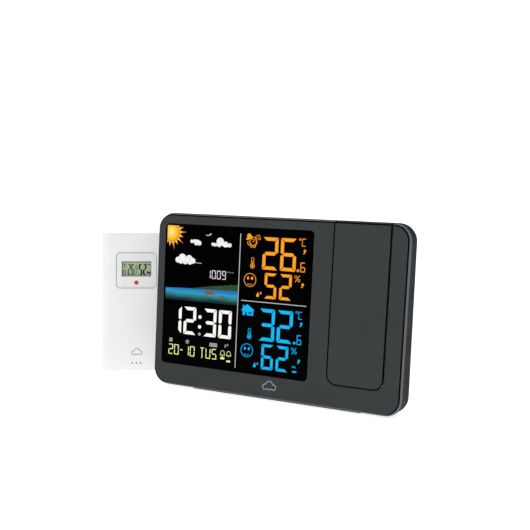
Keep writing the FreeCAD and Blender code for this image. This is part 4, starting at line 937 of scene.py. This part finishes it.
def assign_materials():
    fascia = fascia_paint("fascia_plastic", srgb(43, 47, 48))
    case = moulded("case_plastic", srgb(43, 46, 49), 0.62, specular=0.025)
    # Painted highlight: the case colour turns paler along the front rim lip.
    case.paint_lip_highlight(console, start_mm=2.6, end_mm=4.4, gain=6.0)
    # Painted shade: the fascia and case colours darken to black in the narrow gaps between the parts.
    fascia.paint_gap_shade(reach_mm=3.0, black=0.62, clear_of=0.93)
    case.paint_gap_shade(reach_mm=3.0, black=0.54, clear_of=0.78)
    cover(fascia, "front_fascia", "arm_front_shell")
    cover(case, "middle_case", "rear_cover", "arm_rear_shell", "kickstand")
    cover(window_paint(), "display_window")
    key = moulded("key_plastic", srgb(70, 73, 76), 0.42, 0.25, 0.01)
    rear_keys = [f"rear_key_{i}" for i in range(1, REAR_KEYS + 1)]
    cover(key, "snooze_key", "battery_door", "focus_wheel", *rear_keys)
    rubber = Paint("rubber", srgb(26, 26, 27), 0.85, specular=0.25)
    rubber.mottle(8.0, 0.15).gloss_change(6.0, 0.78, 0.92)
    cover(rubber.grain(0.5, 0.03, 0.6), "friction_washers", "lcd_connectors", "sensor_feet")
    cover(moulded("foot_rubber", srgb(66, 68, 70), 0.85, 0.5, 0.03, 0.2), "foot_bar")
    black = moulded("black_component", srgb(24, 24, 26), 0.4, 0.2, 0.01)
    cover(black, "dc_jack", "board_chips", "buzzer", "lamp_housing", "lens_barrel")
    board = Paint("solder_mask", srgb(22, 84, 44), 0.35).mottle(3.0, 0.25).gloss_change(2.0, 0.28, 0.45)
    cover(board.grain(1.2, 0.02), "main_board", "room_sensor", "projector_board", "sensor_board")
    pale_board = Paint("light_bar", srgb(214, 214, 208), 0.4).mottle(3.0, 0.06).grain(0.6, 0.01)
    cover(pale_board, "backlight_leds", "lcd_frame")
    zinc = metal("zinc_steel", srgb(176, 178, 182), 0.32)
    cover(zinc, "case_screws", "board_screws", "arm_pivot_pins", "arm_screws", "focus_axle",
          "kickstand_pins", "sensor_screws", "sensor_stand_pins")
    nickel = metal("nickel_plate", srgb(200, 198, 192), 0.24)
    cover(nickel, "backup_cell", "cell_contacts", "sensor_contacts")
    cover(metal("enamelled_wire", srgb(190, 110, 56), 0.3), "antenna_coil")
    ferrite = Paint("ferrite", srgb(62, 60, 60), 0.55).mottle(2.0, 0.2).grain(0.4, 0.02)
    cover(ferrite, "antenna_rod")
    cover(clear("light_guide_acrylic", (0.93, 0.95, 0.96)), "light_guide", "condenser_lens")
    lens = clear("coated_lens", (0.86, 0.80, 0.95), 0.02)
    lens.put("Coat Weight", 0.4)
    lens.put("Coat Tint", (0.7, 0.55, 1.0, 1.0))
    cover(lens, "projection_lens")
    lcd_glass = Paint("lcd_glass", srgb(20, 22, 24), 0.08).mottle(10.0, 0.2)
    cover(lcd_glass.gloss_change(9.0, 0.05, 0.12), "lcd_panel")
    lit = patchy_light("projector_image", [srgb(120, 8, 6), srgb(230, 26, 20)], 1.5)
    cover(lit, "projection_lcd", "projection_led")
    white = Paint("sensor_white", srgb(240, 240, 240), 0.5, specular=0.3).mottle(30.0, 0.015)
    cover(white.gloss_change(16.0, 0.4, 0.52).grain(0.3, 0.01, 0.4).grain(5.0, 0.02, 0.1),
          "sensor_front_case", "sensor_rear_case", "sensor_battery_door", "sensor_stand")
    bezel = Paint("sensor_bezel_white", srgb(234, 234, 234), 0.3, specular=0.5).mottle(14.0, 0.012)
    cover(bezel.gloss_change(10.0, 0.25, 0.36).grain(0.4, 0.004), "sensor_window")
    display = Paint("sensor_display", srgb(166, 184, 150), 0.28, specular=0.3).mottle(9.0, 0.07)
    cover(display.gloss_change(6.0, 0.22, 0.34).grain(0.5, 0.003), "sensor_lcd")
    led = Paint("sensor_lamp", srgb(200, 18, 14), 0.25).mottle(1.2, 0.1).grain(0.5, 0.005)
    cover(led.glow(srgb(240, 24, 14), 0.25), "sensor_led")
    grey = moulded("grey_key", srgb(150, 152, 154), 0.45, 0.25, 0.01)
    cover(grey, "sensor_tx_button", "sensor_channel_switch")
    cover(battery_paint(), "sensor_batteries")


add_camera()
add_world(seen=1.05, lighting=0.60)
add_floor()
add_area_light("overhead_light", place=(0, -0.1, 1.8), target=(0, 0, 0), size=(2.6, 2.6), watts=11.0)
add_area_light("key_light", place=(-0.1, -1.7, 0.9), target=(-0.05, 0, 0.06), size=(1.0, 0.8), watts=8.0)
bpy.context.scene.view_settings.view_transform = "Standard"
assign_materials()
build_display()
build_console_mark()
build_sensor_marks()
build_console_back()
build_sensor_back()
